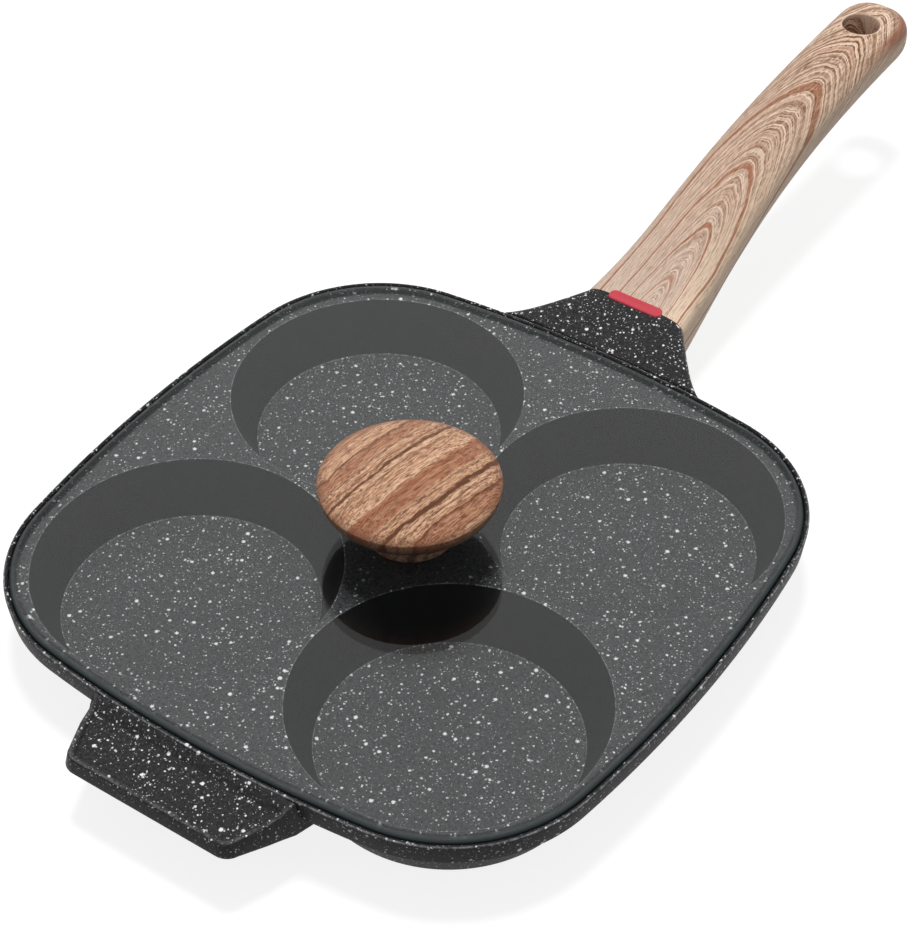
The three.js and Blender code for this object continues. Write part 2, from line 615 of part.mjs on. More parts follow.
const insertLow = pocketTop + FACE;
const shankRing = KNOB_SCREW_RADIUS + SLIP;
function shankWasher(radius, low, thickness) {
  return turned(ringProfile(shankRing, radius, low, low + thickness), 28);
}
const insert = turned(ringProfile(shankRing, INSERT_RADIUS, insertLow, insertLow + INSERT_LENGTH), 20);
const upperGasket = shankWasher(GASKET_RADIUS, glassTop + FACE, GASKET_THICKNESS);
const lowerGasket = shankWasher(GASKET_RADIUS, lowerGasketTop - GASKET_THICKNESS, GASKET_THICKNESS);
const knobWasherLow = knobWasherTop - KNOB_WASHER_THICKNESS;
const knobWasher = shankWasher(KNOB_WASHER_RADIUS, knobWasherLow, KNOB_WASHER_THICKNESS);
const knobTip = insertLow + KNOB_SCREW_GRIP;
const knobScrew = screw(KNOB_SCREW_RADIUS, KNOB_SCREW_HEAD, knobHeadBottom, knobHeadTop, knobTip);

// Materials, with the colours seen on the object.
const coating = new THREE.MeshStandardMaterial({ color: 0x3a3a3d, roughness: 0.5, metalness: 0.1 });
const woodLook = new THREE.MeshStandardMaterial({ color: 0xb9987f, roughness: 0.45, metalness: 0 });
const redPlastic = new THREE.MeshStandardMaterial({ color: 0xd35560, roughness: 0.5, metalness: 0 });
const clearGlass = new THREE.MeshStandardMaterial({ color: 0xbfd4d0, roughness: 0.05, metalness: 0 });
clearGlass.transparent = true;
clearGlass.opacity = 0.35;
const steel = new THREE.MeshStandardMaterial({ color: 0xb4b6b8, roughness: 0.35, metalness: 1 });
const brass = new THREE.MeshStandardMaterial({ color: 0xb8964f, roughness: 0.35, metalness: 1 });
const rubber = new THREE.MeshStandardMaterial({ color: 0x262626, roughness: 0.7, metalness: 0 });

// Assembly, set so that the origin lies under the middle of the whole length.
const assembly = new THREE.Group();
assembly.name = "four_cup_egg_pan";
function place(name, solid, material) {
  const mesh = new THREE.Mesh(geometryOf(solid.translate([frameShift, 0, 0])), material.clone());
  mesh.name = name;
  assembly.add(mesh);
}

place("pan_body", pan, coating);
cupCentres.forEach(([x, y], i) => place(`base_disc_${i + 1}`, disc.translate([x, y, 0]), steel));
place("handle", handle, woodLook);
place("handle_inlay", inlay, redPlastic);
place("handle_screw", gripScrew, steel);
place("handle_washer", gripWasher, steel);
place("lid_glass", glass, clearGlass);
place("lid_knob", knob, woodLook);
place("knob_insert", insert, brass);
place("knob_gasket_upper", upperGasket, rubber);
place("knob_gasket_lower", lowerGasket, rubber);
place("knob_washer", knobWasher, steel);
place("knob_screw", knobScrew, steel);

export default assembly;
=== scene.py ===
import math

import bpy
import numpy as np
from mathutils import Matrix, Vector
from mathutils.geometry import tessellate_polygon


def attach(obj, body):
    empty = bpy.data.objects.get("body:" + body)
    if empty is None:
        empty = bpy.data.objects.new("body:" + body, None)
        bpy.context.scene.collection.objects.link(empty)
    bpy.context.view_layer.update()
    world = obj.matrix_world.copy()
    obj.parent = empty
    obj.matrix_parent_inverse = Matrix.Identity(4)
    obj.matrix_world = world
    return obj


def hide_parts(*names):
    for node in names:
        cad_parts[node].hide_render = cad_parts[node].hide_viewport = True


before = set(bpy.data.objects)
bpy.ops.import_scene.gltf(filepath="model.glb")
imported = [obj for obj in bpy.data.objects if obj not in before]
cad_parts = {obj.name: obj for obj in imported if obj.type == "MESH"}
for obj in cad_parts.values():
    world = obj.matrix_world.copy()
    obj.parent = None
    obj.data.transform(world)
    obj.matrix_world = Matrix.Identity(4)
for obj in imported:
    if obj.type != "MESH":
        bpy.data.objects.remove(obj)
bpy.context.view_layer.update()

# Cast pan. One aluminium casting: a flat plate with a raised rim, four round cups hanging under it and
# a dimple in the middle for the lid's screw. Plate, cups and rim are sprayed with a dark grey non-stick
# coating full of white mineral specks; the steep cup walls catch few of them, and their darker ground
# is painted shade.
MM = 0.001
PAN_X = -80.5  # pan centre from the frame's origin, mm
PAN_HALF, SIDE_BOW, CORNER_ROUND = 100.0, 425.0, 48.3
CUP_PITCH, CUP_MOUTH, CUP_FLOOR, CUP_FOOT = 91.7, 44.65, 38.35, 40.2
MOUTH_ROUND, FLOOR_ROUND, FLOOR_EDGE, CUP_SKIN = 0.9, 2.0, 2.3, 2.6
CAST_BOTTOM, FLOOR_TOP, PLATE_TOP, RIM_TOP = 0.3, 4.7, 22.0, 25.1
PLATE_BOTTOM = PLATE_TOP - 4.2
CUP_GROWTH = (CUP_MOUTH - CUP_FLOOR) / (PLATE_TOP - FLOOR_TOP)
CUP_LEAN = math.degrees(math.atan(CUP_GROWTH))
SKIN_OUT = CUP_SKIN / math.cos(math.radians(CUP_LEAN))
BURIED = 0.5  # how far walls under the plate run into it
LIP_WIDTH, LIP_ROUND, RIM_DRAFT = 1.3, 0.55, 0.8
DIMPLE_RADIUS, DIMPLE_FLOOR, DIMPLE_DRAFT, DIMPLE_ROUND = 9.0, 16.95, 0.5, 1.0
BOSS_WALL, BOSS_ROUND = 2.6, 2.0
DISC_SEAT_RADIUS, DISC_SEAT_TOP = 32.3, 0.85
CUP_STEPS, FOOT_STEPS, WALL_STEPS, DIMPLE_STEPS = 160, 120, 96, 64
# Painted shade: fewer specks in the middle of the plate stand in for the knob's shadow.
KNOB_SHADE_RADIUS, KNOB_SHADE_FADE = 19.0, 14.0  # specks thin out in the middle, under the knob


def arc(cx, cy, radius, start, end, steps):
    angles = np.radians(np.linspace(start, end, steps + 1))
    return [(cx + radius * math.cos(a), cy + radius * math.sin(a)) for a in angles]


def pan_ring(inset, z, side_steps=20, corner_steps=26):
    """The pan's outline of bowed sides and tangent corner arcs, moved inwards by inset."""
    run = SIDE_BOW - PAN_HALF
    gap = SIDE_BOW - CORNER_ROUND
    corner = (math.sqrt(2 * gap * gap - run * run) - run) / 2
    turn = math.degrees(math.atan2(corner, corner + run))
    quarter = arc(-run, 0, SIDE_BOW - inset, -turn, turn, side_steps)[:-1]
    quarter += arc(corner, corner, CORNER_ROUND - inset, turn, 90 - turn, corner_steps)[:-1]
    q = np.array(quarter)
    xy = np.concatenate([q, np.c_[-q[:, 1], q[:, 0]], -q, np.c_[q[:, 1], -q[:, 0]]])
    return np.c_[xy, np.full(len(xy), float(z))]


def stack(rings):
    """Surface through closed rings with equal counts of points."""
    n = len(rings[0])
    faces = []
    for r in range(len(rings) - 1):
        for i in range(n):
            j = (i + 1) % n
            faces.append((r * n + i, r * n + j, (r + 1) * n + j, (r + 1) * n + i))
    return np.concatenate(rings), faces


def revolve(profile, steps, x=0.0, y=0.0):
    """Surface of revolution about an upright axis; a profile end on the axis closes in a fan."""
    turn = np.linspace(0, 2 * math.pi, steps, endpoint=False)
    verts, starts = [], []
    for radius, z in profile:
        starts.append(len(verts))
        if radius < 1e-6:
            verts.append((x, y, z))
        else:
            verts += [(x + radius * math.cos(t), y + radius * math.sin(t), z) for t in turn]
    faces = []
    for k in range(len(profile) - 1):
        a, b = starts[k], starts[k + 1]
        low_pole, high_pole = profile[k][0] < 1e-6, profile[k + 1][0] < 1e-6
        for i in range(steps):
            j = (i + 1) % steps
            if low_pole:
                faces.append((a, b + j, b + i))
            elif high_pole:
                faces.append((a + i, a + j, b))
            else:
                faces.append((a + i, a + j, b + j, b + i))
    return np.array(verts), faces


def fill(outer, holes, up=True):
    """Flat face inside one ring with holes cut out of it."""
    loops = [outer] + list(holes)
    verts = np.concatenate(loops)
    faces = []
    for tri in tessellate_polygon([[tuple(p) for p in loop] for loop in loops]):
        a, b, c = (verts[i] for i in tri)
        turn = (b[0] - a[0]) * (c[1] - a[1]) - (b[1] - a[1]) * (c[0] - a[0])
        if abs(turn) > 1e-9:
            faces.append(tuple(tri) if (turn > 0) == up else tuple(reversed(tri)))
    return verts, faces


def circle(radius, z, steps, x=0.0, y=0.0):
    turn = np.linspace(0, 2 * math.pi, steps, endpoint=False)
    return np.c_[x + radius * np.cos(turn), y + radius * np.sin(turn), np.full(steps, float(z))]


# A coat is specks, mist, lift and edge highlight: how many specks, how much fine grit between them, how
# light the ground is and how much painted highlight lies along a rounded edge.
TOP_COAT = (1.0, 1.0, 0.34, 0.0)
# Painted shade: the knob's shadow on the plate, drawn as fewer specks.
KNOB_SHADE_COAT = (0.25, 1.0, 0.34, 0.0)
# The steep cup walls and the dimple get few specks and a darker ground; the darker ground is painted
# shade.
WALL_SHADE_COAT = (0.01, 0.0, 0.2, 0.0)
OUTER_COAT = (1.0, 0.4, 0.12, 0.0)
GRIP_COAT = (1.1, 0.5, 0.21, 0.0)
# Painted highlight: rounded edges get more specks and patches of light grey.
EDGE_COAT = (1.2, 0.6, 0.1, 1.0)
BARE_COAT = (0.0, 0.0, 0.0, 0.0)


def spread_coat(mesh, coats):
    layer = mesh.attributes.get("coat") or mesh.attributes.new("coat", "FLOAT_COLOR", "POINT")
    values = np.broadcast_to(coats, (len(mesh.vertices), 4)).astype(float)
    layer.data.foreach_set("color", values.ravel())


def make(name, surfaces, body, sharp=32):
    """Mesh object from surfaces in pan-centred millimetres; each may carry its coat of paint."""
    verts, faces, coats = [], [], []
    for surface in surfaces:
        v, f = surface[0], surface[1]
        base = sum(len(part) for part in verts)
        verts.append(v)
        faces += [tuple(i + base for i in face) for face in f]
        coat = np.atleast_2d(surface[2] if len(surface) > 2 else OUTER_COAT)
        coats.append(np.repeat(coat, len(v) // len(coat), 0))
    mesh = bpy.data.meshes.new(name)
    mesh.from_pydata((np.concatenate(verts) + [PAN_X, 0, 0]) * MM, [], faces)
    spread_coat(mesh, np.concatenate(coats))
    mesh.validate()
    mesh.shade_smooth()
    mesh.set_sharp_from_angle(angle=math.radians(sharp))
    obj = bpy.data.objects.new(name, mesh)
    bpy.context.scene.collection.objects.link(obj)
    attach(obj, body)
    return obj


def wire(tree, made, inputs):
    """Feeds inputs: a socket is linked, anything else becomes the input's own value."""
    for key, value in inputs.items():
        if isinstance(value, bpy.types.NodeSocket):
            tree.links.new(value, made.inputs[key])
        else:
            made.inputs[key].default_value = value


def node(tree, kind, inputs=None, **settings):
    made = tree.nodes.new(kind)
    for key, value in settings.items():
        setattr(made, key, value)
    wire(tree, made, inputs or {})
    return made


def math_node(tree, operation, a, b=0.0, c=0.0, clamp=False):
    made = node(tree, "ShaderNodeMath", {0: a, 1: b, 2: c}, operation=operation, use_clamp=clamp)
    return made.outputs[0]


def vector_node(tree, operation, inputs):
    return node(tree, "ShaderNodeVectorMath", inputs, operation=operation).outputs[0]


def times(tree, a, *factors):
    for factor in factors:
        a = math_node(tree, "MULTIPLY", a, factor)
    return a


def blend(tree, factor, a, b):
    return node(tree, "ShaderNodeMix", {0: factor, 6: a, 7: b}, data_type="RGBA").outputs[2]


def remap(tree, value, low, high, a=0.0, b=1.0):
    return node(tree, "ShaderNodeMapRange", {0: value, 1: low, 2: high, 3: a, 4: b}).outputs[0]


def noise(tree, place, scale, detail, rough=0.5):
    inputs = {"Vector": place, "Scale": scale, "Detail": detail, "Roughness": rough}
    return node(tree, "ShaderNodeTexNoise", inputs)


def object_place(tree):
    return node(tree, "ShaderNodeTexCoord").outputs["Object"]


def new_material(name):
    material = bpy.data.materials.new(name)
    material.use_nodes = True
    return material, material.node_tree, material.node_tree.nodes["Principled BSDF"]


GROUND_DARK, GROUND_LIGHT = (0.004, 0.004, 0.0044, 1), (0.066, 0.0655, 0.0685, 1)
EDGE_HIGHLIGHT_GREY, SPECK_WHITE = (0.24, 0.24, 0.25, 1), (0.86, 0.86, 0.85, 1)
SPECK_LAYERS = ((1.25, 0.25, 0.8), (3.1, 0.215, 1.0), (1.9, 0.22, 0.9), (0.8, 0.24, 0.55))

coating, tree, shader = new_material("speckled_coating")
place = vector_node(tree, "SCALE", {0: object_place(tree), 3: 1 / MM})
ragged = noise(tree, place, 2.0, 2.0).outputs["Color"]
ragged = vector_node(tree, "SUBTRACT", {0: ragged, 1: (0.5, 0.5, 0.5)})
ragged = vector_node(tree, "SCALE", {0: ragged, 3: 0.8})
uneven = vector_node(tree, "ADD", {0: place, 1: ragged})
coat = node(tree, "ShaderNodeAttribute", attribute_name="coat").outputs
share, grit_share, lift = node(tree, "ShaderNodeSeparateColor", {0: coat["Color"]}).outputs[:3]
swell = math_node(tree, "MULTIPLY_ADD", share, 0.35, 0.65)
specks = None
for cell, size, bright in SPECK_LAYERS:
    dots = node(tree, "ShaderNodeTexVoronoi", {"Vector": uneven, "Scale": 1 / cell, "Randomness": 1.0})
    tone = node(tree, "ShaderNodeSeparateColor", {0: dots.outputs["Color"]}).outputs[0]
    edge = times(tree, math_node(tree, "MULTIPLY_ADD", tone, 1.1 * size, 0.05 * size), swell)
    dot = remap(tree, remap(tree, dots.outputs["Distance"], edge, 0.0), 0.0, 0.45)
    tone = math_node(tree, "MULTIPLY_ADD", tone, 0.9 * bright, 0.25 * bright)
    dot = math_node(tree, "MULTIPLY", dot, tone, clamp=True)
    specks = dot if specks is None else math_node(tree, "MAXIMUM", specks, dot)
specks = math_node(tree, "MULTIPLY", specks, share, clamp=True)
mist = remap(tree, noise(tree, place, 1.1, 3.0, 0.65).outputs[0], 0.34, 0.72)
mist = math_node(tree, "MULTIPLY_ADD", mist, grit_share, lift)
color = blend(tree, mist, GROUND_DARK, GROUND_LIGHT)
# Painted highlight: where a coat asks for it, the edge is blended towards a light grey in patches.
edge_highlight = remap(tree, noise(tree, place, 0.9, 2.0).outputs[0], 0.38, 0.66, 0.15, 1.0)
color = blend(tree, times(tree, edge_highlight, coat["Alpha"]), color, EDGE_HIGHLIGHT_GREY)
grit = {"Strength": times(tree, grit_share, 0.1), "Distance": 0.0001}
grit["Height"] = noise(tree, place, 3.0, 2.0).outputs[0]
wire(tree, shader, {
    "Base Color": blend(tree, specks, color, SPECK_WHITE),
    "Roughness": remap(tree, grit_share, 0.2, 1.0, 0.55, 0.34),
    "Specular IOR Level": 0.13,
    "Normal": node(tree, "ShaderNodeBump", grit).outputs[0],
})

rim_profile = arc(RIM_DRAFT + LIP_ROUND, PLATE_BOTTOM + LIP_ROUND, LIP_ROUND, 270, 180, 5)
rim_profile += arc(LIP_ROUND, RIM_TOP - LIP_ROUND, LIP_ROUND, 180, 90, 6)
rim_profile += arc(LIP_WIDTH - LIP_ROUND, RIM_TOP - LIP_ROUND, LIP_ROUND, 90, 0, 6)
rim_profile += arc(LIP_WIDTH + LIP_ROUND, PLATE_TOP + LIP_ROUND, LIP_ROUND, 180, 270, 5)
rim_coats = [OUTER_COAT] * 8 + [EDGE_COAT] * 4 + [OUTER_COAT] * 14
shell = [(*stack([pan_ring(inset, z) for inset, z in rim_profile]), rim_coats)]

inside = arc(CUP_MOUTH + MOUTH_ROUND, PLATE_TOP - MOUTH_ROUND, MOUTH_ROUND, 90, 180 - CUP_LEAN, 8)
inside += arc(CUP_FLOOR - FLOOR_ROUND, FLOOR_TOP + FLOOR_ROUND, FLOOR_ROUND, -CUP_LEAN, -90, 8)
inside += [(CUP_FLOOR - FLOOR_EDGE, FLOOR_TOP)]
cup_coats = [TOP_COAT] * 3 + [EDGE_COAT] * 2 + [WALL_SHADE_COAT] * 7 + [EDGE_COAT] + [TOP_COAT] * 6
outside = [(DISC_SEAT_RADIUS, DISC_SEAT_TOP), (DISC_SEAT_RADIUS, CAST_BOTTOM)]
outside += [(CUP_FOOT - FLOOR_EDGE, CAST_BOTTOM)]
outside += arc(CUP_FOOT - FLOOR_ROUND, CAST_BOTTOM + FLOOR_ROUND, FLOOR_ROUND, -90, -CUP_LEAN, 8)
wall_top = PLATE_BOTTOM + BURIED
outside += [(CUP_FLOOR + SKIN_OUT + (wall_top - FLOOR_TOP) * CUP_GROWTH, wall_top)]
wall_radius = CUP_FLOOR + CUP_SKIN / 2 + (PLATE_BOTTOM - FLOOR_TOP) * CUP_GROWTH
mouths, walls = [], []
for x, y in [(sx * CUP_PITCH / 2, sy * CUP_PITCH / 2) for sy in (1, -1) for sx in (1, -1)]:
    floor = circle(CUP_FLOOR - FLOOR_EDGE, FLOOR_TOP, CUP_STEPS, x, y)
    seat = circle(DISC_SEAT_RADIUS, DISC_SEAT_TOP, FOOT_STEPS, x, y)
    shell.append((*revolve(inside, CUP_STEPS, x, y), cup_coats))
    shell.append((*fill(floor, []), TOP_COAT))
    shell.append(revolve(outside, FOOT_STEPS, x, y))
    shell.append((*fill(seat, [], up=False), BARE_COAT))
    mouths.append(circle(CUP_MOUTH + MOUTH_ROUND, PLATE_TOP, CUP_STEPS, x, y))
    walls.append(circle(wall_radius, PLATE_BOTTOM, WALL_STEPS, x, y))

# The middle of the plate takes the knob's painted shade, which fades out towards the cups.
middle = circle(KNOB_SHADE_RADIUS, PLATE_TOP, DIMPLE_STEPS)
dimple_edge = circle(DIMPLE_RADIUS + DIMPLE_DRAFT, PLATE_TOP, DIMPLE_STEPS)
shell.append((*stack([middle, dimple_edge]), KNOB_SHADE_COAT))
plate_verts, plate_faces = fill(pan_ring(LIP_WIDTH + LIP_ROUND, PLATE_TOP), mouths + [middle])
full = np.hypot(plate_verts[:, 0], plate_verts[:, 1]) - KNOB_SHADE_RADIUS
full = np.clip(full / KNOB_SHADE_FADE, 0, 1)[:, None]
shell.append((plate_verts, plate_faces, full * np.array(TOP_COAT) + (1 - full) * np.array(KNOB_SHADE_COAT)))
walls.append(circle(DIMPLE_RADIUS + 2, PLATE_BOTTOM, DIMPLE_STEPS))
shell.append(fill(pan_ring(RIM_DRAFT + LIP_ROUND, PLATE_BOTTOM), walls, up=False))
dimple = [(DIMPLE_RADIUS + DIMPLE_DRAFT, PLATE_TOP), (DIMPLE_RADIUS, DIMPLE_FLOOR + DIMPLE_ROUND)]
dimple += arc(DIMPLE_RADIUS - DIMPLE_ROUND, DIMPLE_FLOOR + DIMPLE_ROUND, DIMPLE_ROUND, 0, -90, 5)
shell.append((*revolve(dimple + [(0.0, DIMPLE_FLOOR)], DIMPLE_STEPS), WALL_SHADE_COAT))
boss_turn = BOSS_WALL - BOSS_ROUND
boss = [(0.0, DIMPLE_FLOOR - BOSS_WALL)]
boss += arc(DIMPLE_RADIUS + boss_turn, DIMPLE_FLOOR - boss_turn, BOSS_ROUND, -90, -10, 6)
boss += [(DIMPLE_RADIUS + BOSS_WALL + 1, PLATE_BOTTOM + BURIED)]
shell.append(revolve(boss, DIMPLE_STEPS))
pan_shell = make("pan_shell", shell, "pan")
pan_shell.data.materials.append(coating)
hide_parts("pan_body")

# Neck of the casting. It grows out of the rim, narrows to the width of the long handle and is hollow
# underneath; the handle slides over its tongue and meets it in a plain butt joint.
JOINT_X, NECK_REACH, NECK_ROOT, NECK_RINGS = 120.6, 20.6, 9.0, 49
NECK_TAPER, NECK_FLARE, NECK_FLARE_POWER, NECK_WALL = 0.8, 2.2, 6, 4.0
NECK_CROWDING = 1.2  # rings lie closer together towards the joint
NECK_SUNK, NECK_STEP = 0.3, 0.8  # inside the rim the neck drops below the plate within this step
ROOT_HALF_WIDTH, ROOT_HALF_HEIGHT, ROOT_LEVEL = 18.1, 9.2, 20.4
SECTION_POWER, ROOT_SQUARENESS = 2.62, 2.4
HOLLOW_WIDE, HOLLOW_SLIM = (104.0, 24.2), (116.6, 14.1)


def section(x, half_width, half_height, level, power, steps=96):
    """Ring across the handle's run: a rounded box that grows squarer with its power."""
    turn = np.linspace(0, 2 * math.pi, steps, endpoint=False)
    y = half_width * np.sign(np.cos(turn)) * np.abs(np.cos(turn)) ** (2 / power)
    z = level + half_height * np.sign(np.sin(turn)) * np.abs(np.sin(turn)) ** (2 / power)
    return np.c_[np.full(steps, float(x)), y, z]


def cap(ring, facing):
    n = len(ring)
    verts = np.concatenate([ring, ring.mean(0)[None]])
    faces = [(i, (i + 1) % n, n) if facing > 0 else ((i + 1) % n, i, n) for i in range(n)]
    return verts, faces


def closed(rings):
    return [stack(rings), cap(rings[0], -1), cap(rings[-1], 1)]


def settle(obj):
    """Applies the object's modifiers to its mesh."""
    bpy.context.view_layer.update()
    ready = obj.evaluated_get(bpy.context.evaluated_depsgraph_get())
    obj.data = bpy.data.meshes.new_from_object(ready)
    obj.modifiers.clear()


def weld(surfaces, name):
    """Closed mesh from surfaces whose borders coincide, for cutting."""
    obj = make(name, surfaces, "pan")
    obj.modifiers.new("weld", "WELD").merge_threshold = 1e-6
    settle(obj)
    return obj


def cut(obj, tool):
    """Takes the tool's volume out of the object and drops the tool."""
    change = obj.modifiers.new("cut", "BOOLEAN")
    change.object = tool
    change.operation = "DIFFERENCE"
    change.solver = "EXACT"
    settle(obj)
    bpy.data.objects.remove(tool)
    obj.data.shade_smooth()
    obj.data.set_sharp_from_angle(angle=math.radians(32))


neck_rings = []
neck_start = NECK_REACH + NECK_ROOT
for i in range(NECK_RINGS):
    back = neck_start * (1 - i / (NECK_RINGS - 1)) ** NECK_CROWDING
    share = min(back / NECK_REACH, 1)
    half_width = ROOT_HALF_WIDTH + NECK_TAPER * back
    half_width += NECK_FLARE * (back / NECK_REACH) ** NECK_FLARE_POWER
    crown_z = (1 - share) * (ROOT_LEVEL + ROOT_HALF_HEIGHT) + share * RIM_TOP
    away = (back / neck_start) ** 2
    keel_z = (1 - away) * (ROOT_LEVEL - ROOT_HALF_HEIGHT) + away * (PLATE_BOTTOM + 1)
    if back > NECK_REACH:
        sunk_z = PLATE_TOP - NECK_SUNK
        crown_z = sunk_z + (RIM_TOP - sunk_z) * max(0, 1 - (back - NECK_REACH) / NECK_STEP)
    half_height, level = (crown_z - keel_z) / 2, (crown_z + keel_z) / 2
    power = SECTION_POWER + ROOT_SQUARENESS
    neck_rings.append(section(JOINT_X - back, half_width, half_height, level, power))
neck = weld(closed(neck_rings), "pan_neck")
(wide_x, wide_y), (slim_x, slim_y) = HOLLOW_WIDE, HOLLOW_SLIM
hollow = np.array([(wide_x, -wide_y), (slim_x, -slim_y), (slim_x, slim_y), (wide_x, wide_y)])
hollow_rings = [np.c_[hollow, np.full(4, z)] for z in (-10.0, RIM_TOP - NECK_WALL)]
cut(neck, weld(closed(hollow_rings), "neck_hollow"))
neck.data.materials.clear()
neck.data.materials.append(coating)
spread_coat(neck.data, GRIP_COAT)
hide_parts("pan_body")

# Helper handle of the casting. A flat tab with rounded corners opposite the long handle, with a raised
# border round its speckled top and an underside that rises towards the tip.
HELPER_REACH, HELPER_TOP, HELPER_ROOT = 20.6, 22.7, 8.0
HELPER_TIP_X = -PAN_HALF - HELPER_REACH
HELPER_ROOT_HALF, HELPER_TIP_HALF, HELPER_CORNER = 35.0, 29.5, 5.0
HELPER_ROOT_THICK, HELPER_THINNING, HELPER_SIDE_POINTS = 10.0, 4.8, 33
UNDER_ROUND, TOP_ROUND, TOP_INSET = 1.3, 0.7, 0.8
BORDER_STEP = ((2.6, 0.0), (2.9, 0.2), (3.2, 0.8))  # inset and drop from border to field
# Painted highlight along the border's inner edge: more specks and a light grey.
BORDER_EDGE = (1.2, 0.6, 0.1, 0.45)  # coat on the border's inner edge
HELPER_SUNK, SMALLEST_CORNER = 0.4, 0.2
STRIP_OUTER, STRIP_STEP, STRIP_INNER = -102.6, 0.5, -98.9
STRIP_LOW, STRIP_RISE, STRIP_SLOPE_X, STRIP_SLOPE_RUN = 23.1, 1.6, -102.1, 2.4


def progress(value, start, run):
    return min(max((value - start) / run, 0), 1)


def helper_ring(inset, height):
    """The tab's outline, open towards the pan, with a height for each x."""
    spread = HELPER_ROOT_HALF - HELPER_TIP_HALF
    normal = 90 + math.degrees(math.atan2(spread, HELPER_REACH))
    half = []
    for x in np.linspace(HELPER_ROOT - PAN_HALF, -HELPER_ROOT - PAN_HALF, HELPER_SIDE_POINTS):
        half.append((x, HELPER_ROOT_HALF + spread * (PAN_HALF + x) / HELPER_REACH - inset))
    corner = (HELPER_TIP_X + HELPER_CORNER, HELPER_TIP_HALF - HELPER_CORNER)
    half += arc(*corner, max(HELPER_CORNER - inset, SMALLEST_CORNER), normal, 180, 14)
    points = half + [(x, -y) for x, y in reversed(half)]
    return np.array([(x, y, height(x)) for x, y in points])


def helper_under(x):
    out = progress(-x, PAN_HALF, HELPER_REACH)
    return HELPER_TOP - HELPER_ROOT_THICK + HELPER_THINNING * (1.6 * out - 0.6 * out * out)


def helper_top(x, level):
    """Beside the pan the top steps up to a strip that slopes to the rim; inside, it dives."""
    if x > STRIP_INNER:
        return min(level, PLATE_TOP - HELPER_SUNK)
    strip = STRIP_LOW + STRIP_RISE * progress(x, STRIP_SLOPE_X, STRIP_SLOPE_RUN)
    return level + (max(strip, level) - level) * progress(x, STRIP_OUTER, STRIP_STEP)


helper_rings = []
for turn in np.radians(np.linspace(-90, 0, 7)):
    inset = UNDER_ROUND * (1 - math.cos(turn))
    lift = UNDER_ROUND + UNDER_ROUND * math.sin(turn)
    helper_rings.append(helper_ring(inset, lambda x: helper_under(x) + lift))
border = [(TOP_INSET + TOP_ROUND * (1 - math.cos(turn)), TOP_ROUND - TOP_ROUND * math.sin(turn))
          for turn in np.radians(np.linspace(0, 90, 6))]
for inset, drop in border + list(BORDER_STEP):
    helper_rings.append(helper_ring(inset, lambda x: helper_top(x, HELPER_TOP - drop)))
helper_coats = [GRIP_COAT] * 11 + [BORDER_EDGE] * 2 + [GRIP_COAT] * 3
tab = [(*stack(helper_rings), helper_coats)]
count = len(helper_rings[0])
floor_faces = [(i, i + 1, count - 2 - i, count - 1 - i) for i in range(count // 2 - 1)]
tab.append((helper_rings[-1], floor_faces, GRIP_COAT))
tab.append((helper_rings[0], [tuple(reversed(face)) for face in floor_faces], GRIP_COAT))
helper = make("pan_helper", tab, "pan", sharp=40)
helper.data.materials.append(coating)
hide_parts("pan_body")

# Steel discs in the cup bottoms. Perforated magnetic steel, pressed into the casting so that the pan
# also works on an induction hob; their finely brushed faces stand a little proud.
STEEL_DARK, STEEL_LIGHT = (0.42, 0.42, 0.43, 1), (0.62, 0.62, 0.63, 1)


def dress(names, material):
    """Gives CAD pieces that keep their own mesh a material."""
    for name in names:
        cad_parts[name].data.materials.clear()
        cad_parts[name].data.materials.append(material)


steel, tree, shader = new_material("turned_steel")
streak = noise(tree, object_place(tree), 900.0, 3.0).outputs[0]
wire(tree, shader, {
    "Base Color": blend(tree, streak, STEEL_DARK, STEEL_LIGHT),
    "Metallic": 1.0,
    "Roughness": remap(tree, streak, 0.0, 1.0, 0.28, 0.46),
})
dress([f"base_disc_{index}" for index in range(1, 5)], steel)

# Long handle. Moulded bakelite with a printed wood grain of nested arches, square where it meets the
# neck and round in the grip, with a hanging hole through the tail and a screw pocket underneath.
HANDLE_LENGTH, TAIL_HALF_WIDTH, TAIL_HALF_HEIGHT, BELLY = 161.0, 12.6, 8.8, 0.5
HANDLE_RISE, ROOT_PULL, ROOT_SLOPE, TAIL_PULL = 28.6, 42.8, math.radians(12.3), 103.5
TAIL_ROUND, TAIL_FULLNESS, WAIST_POWER, ROOT_BLEND = 13.6, 0.7, 2.8, 36.0
HANG_RADIUS, HANG_INSET, HANG_ROUND, HANG_DEPTH = 6.4, 19.2, 1.3, 0.9
TONGUE_TILT, POCKET_ALONG, POCKET_RADIUS, POCKET_FLOOR = -14.0, 17.0, 4.7, -7.0
JOINT_GAP, BORE_OVER, BORE_WIDE, POCKET_MOUTH = 0.3, 6, 5, -30.0
FLANK_START, FLANK_SOFT = 0.45, 2  # where the print turns down the flanks
TAIL_X = JOINT_X + HANDLE_LENGTH
HANG_X = TAIL_X - HANG_INSET
BEZIER = np.array([
    (JOINT_X, ROOT_LEVEL),
    (JOINT_X + ROOT_PULL * math.cos(ROOT_SLOPE), ROOT_LEVEL + ROOT_PULL * math.sin(ROOT_SLOPE)),
    (TAIL_X - TAIL_PULL, ROOT_LEVEL + HANDLE_RISE),
    (TAIL_X, ROOT_LEVEL + HANDLE_RISE),
])


def handle_middle(u):
    weights = np.array([(1 - u) ** 3, 3 * (1 - u) ** 2 * u, 3 * (1 - u) * u ** 2, u ** 3])
    return weights @ BEZIER


middle_points = np.array([handle_middle(u) for u in np.linspace(0, 1, 400)])


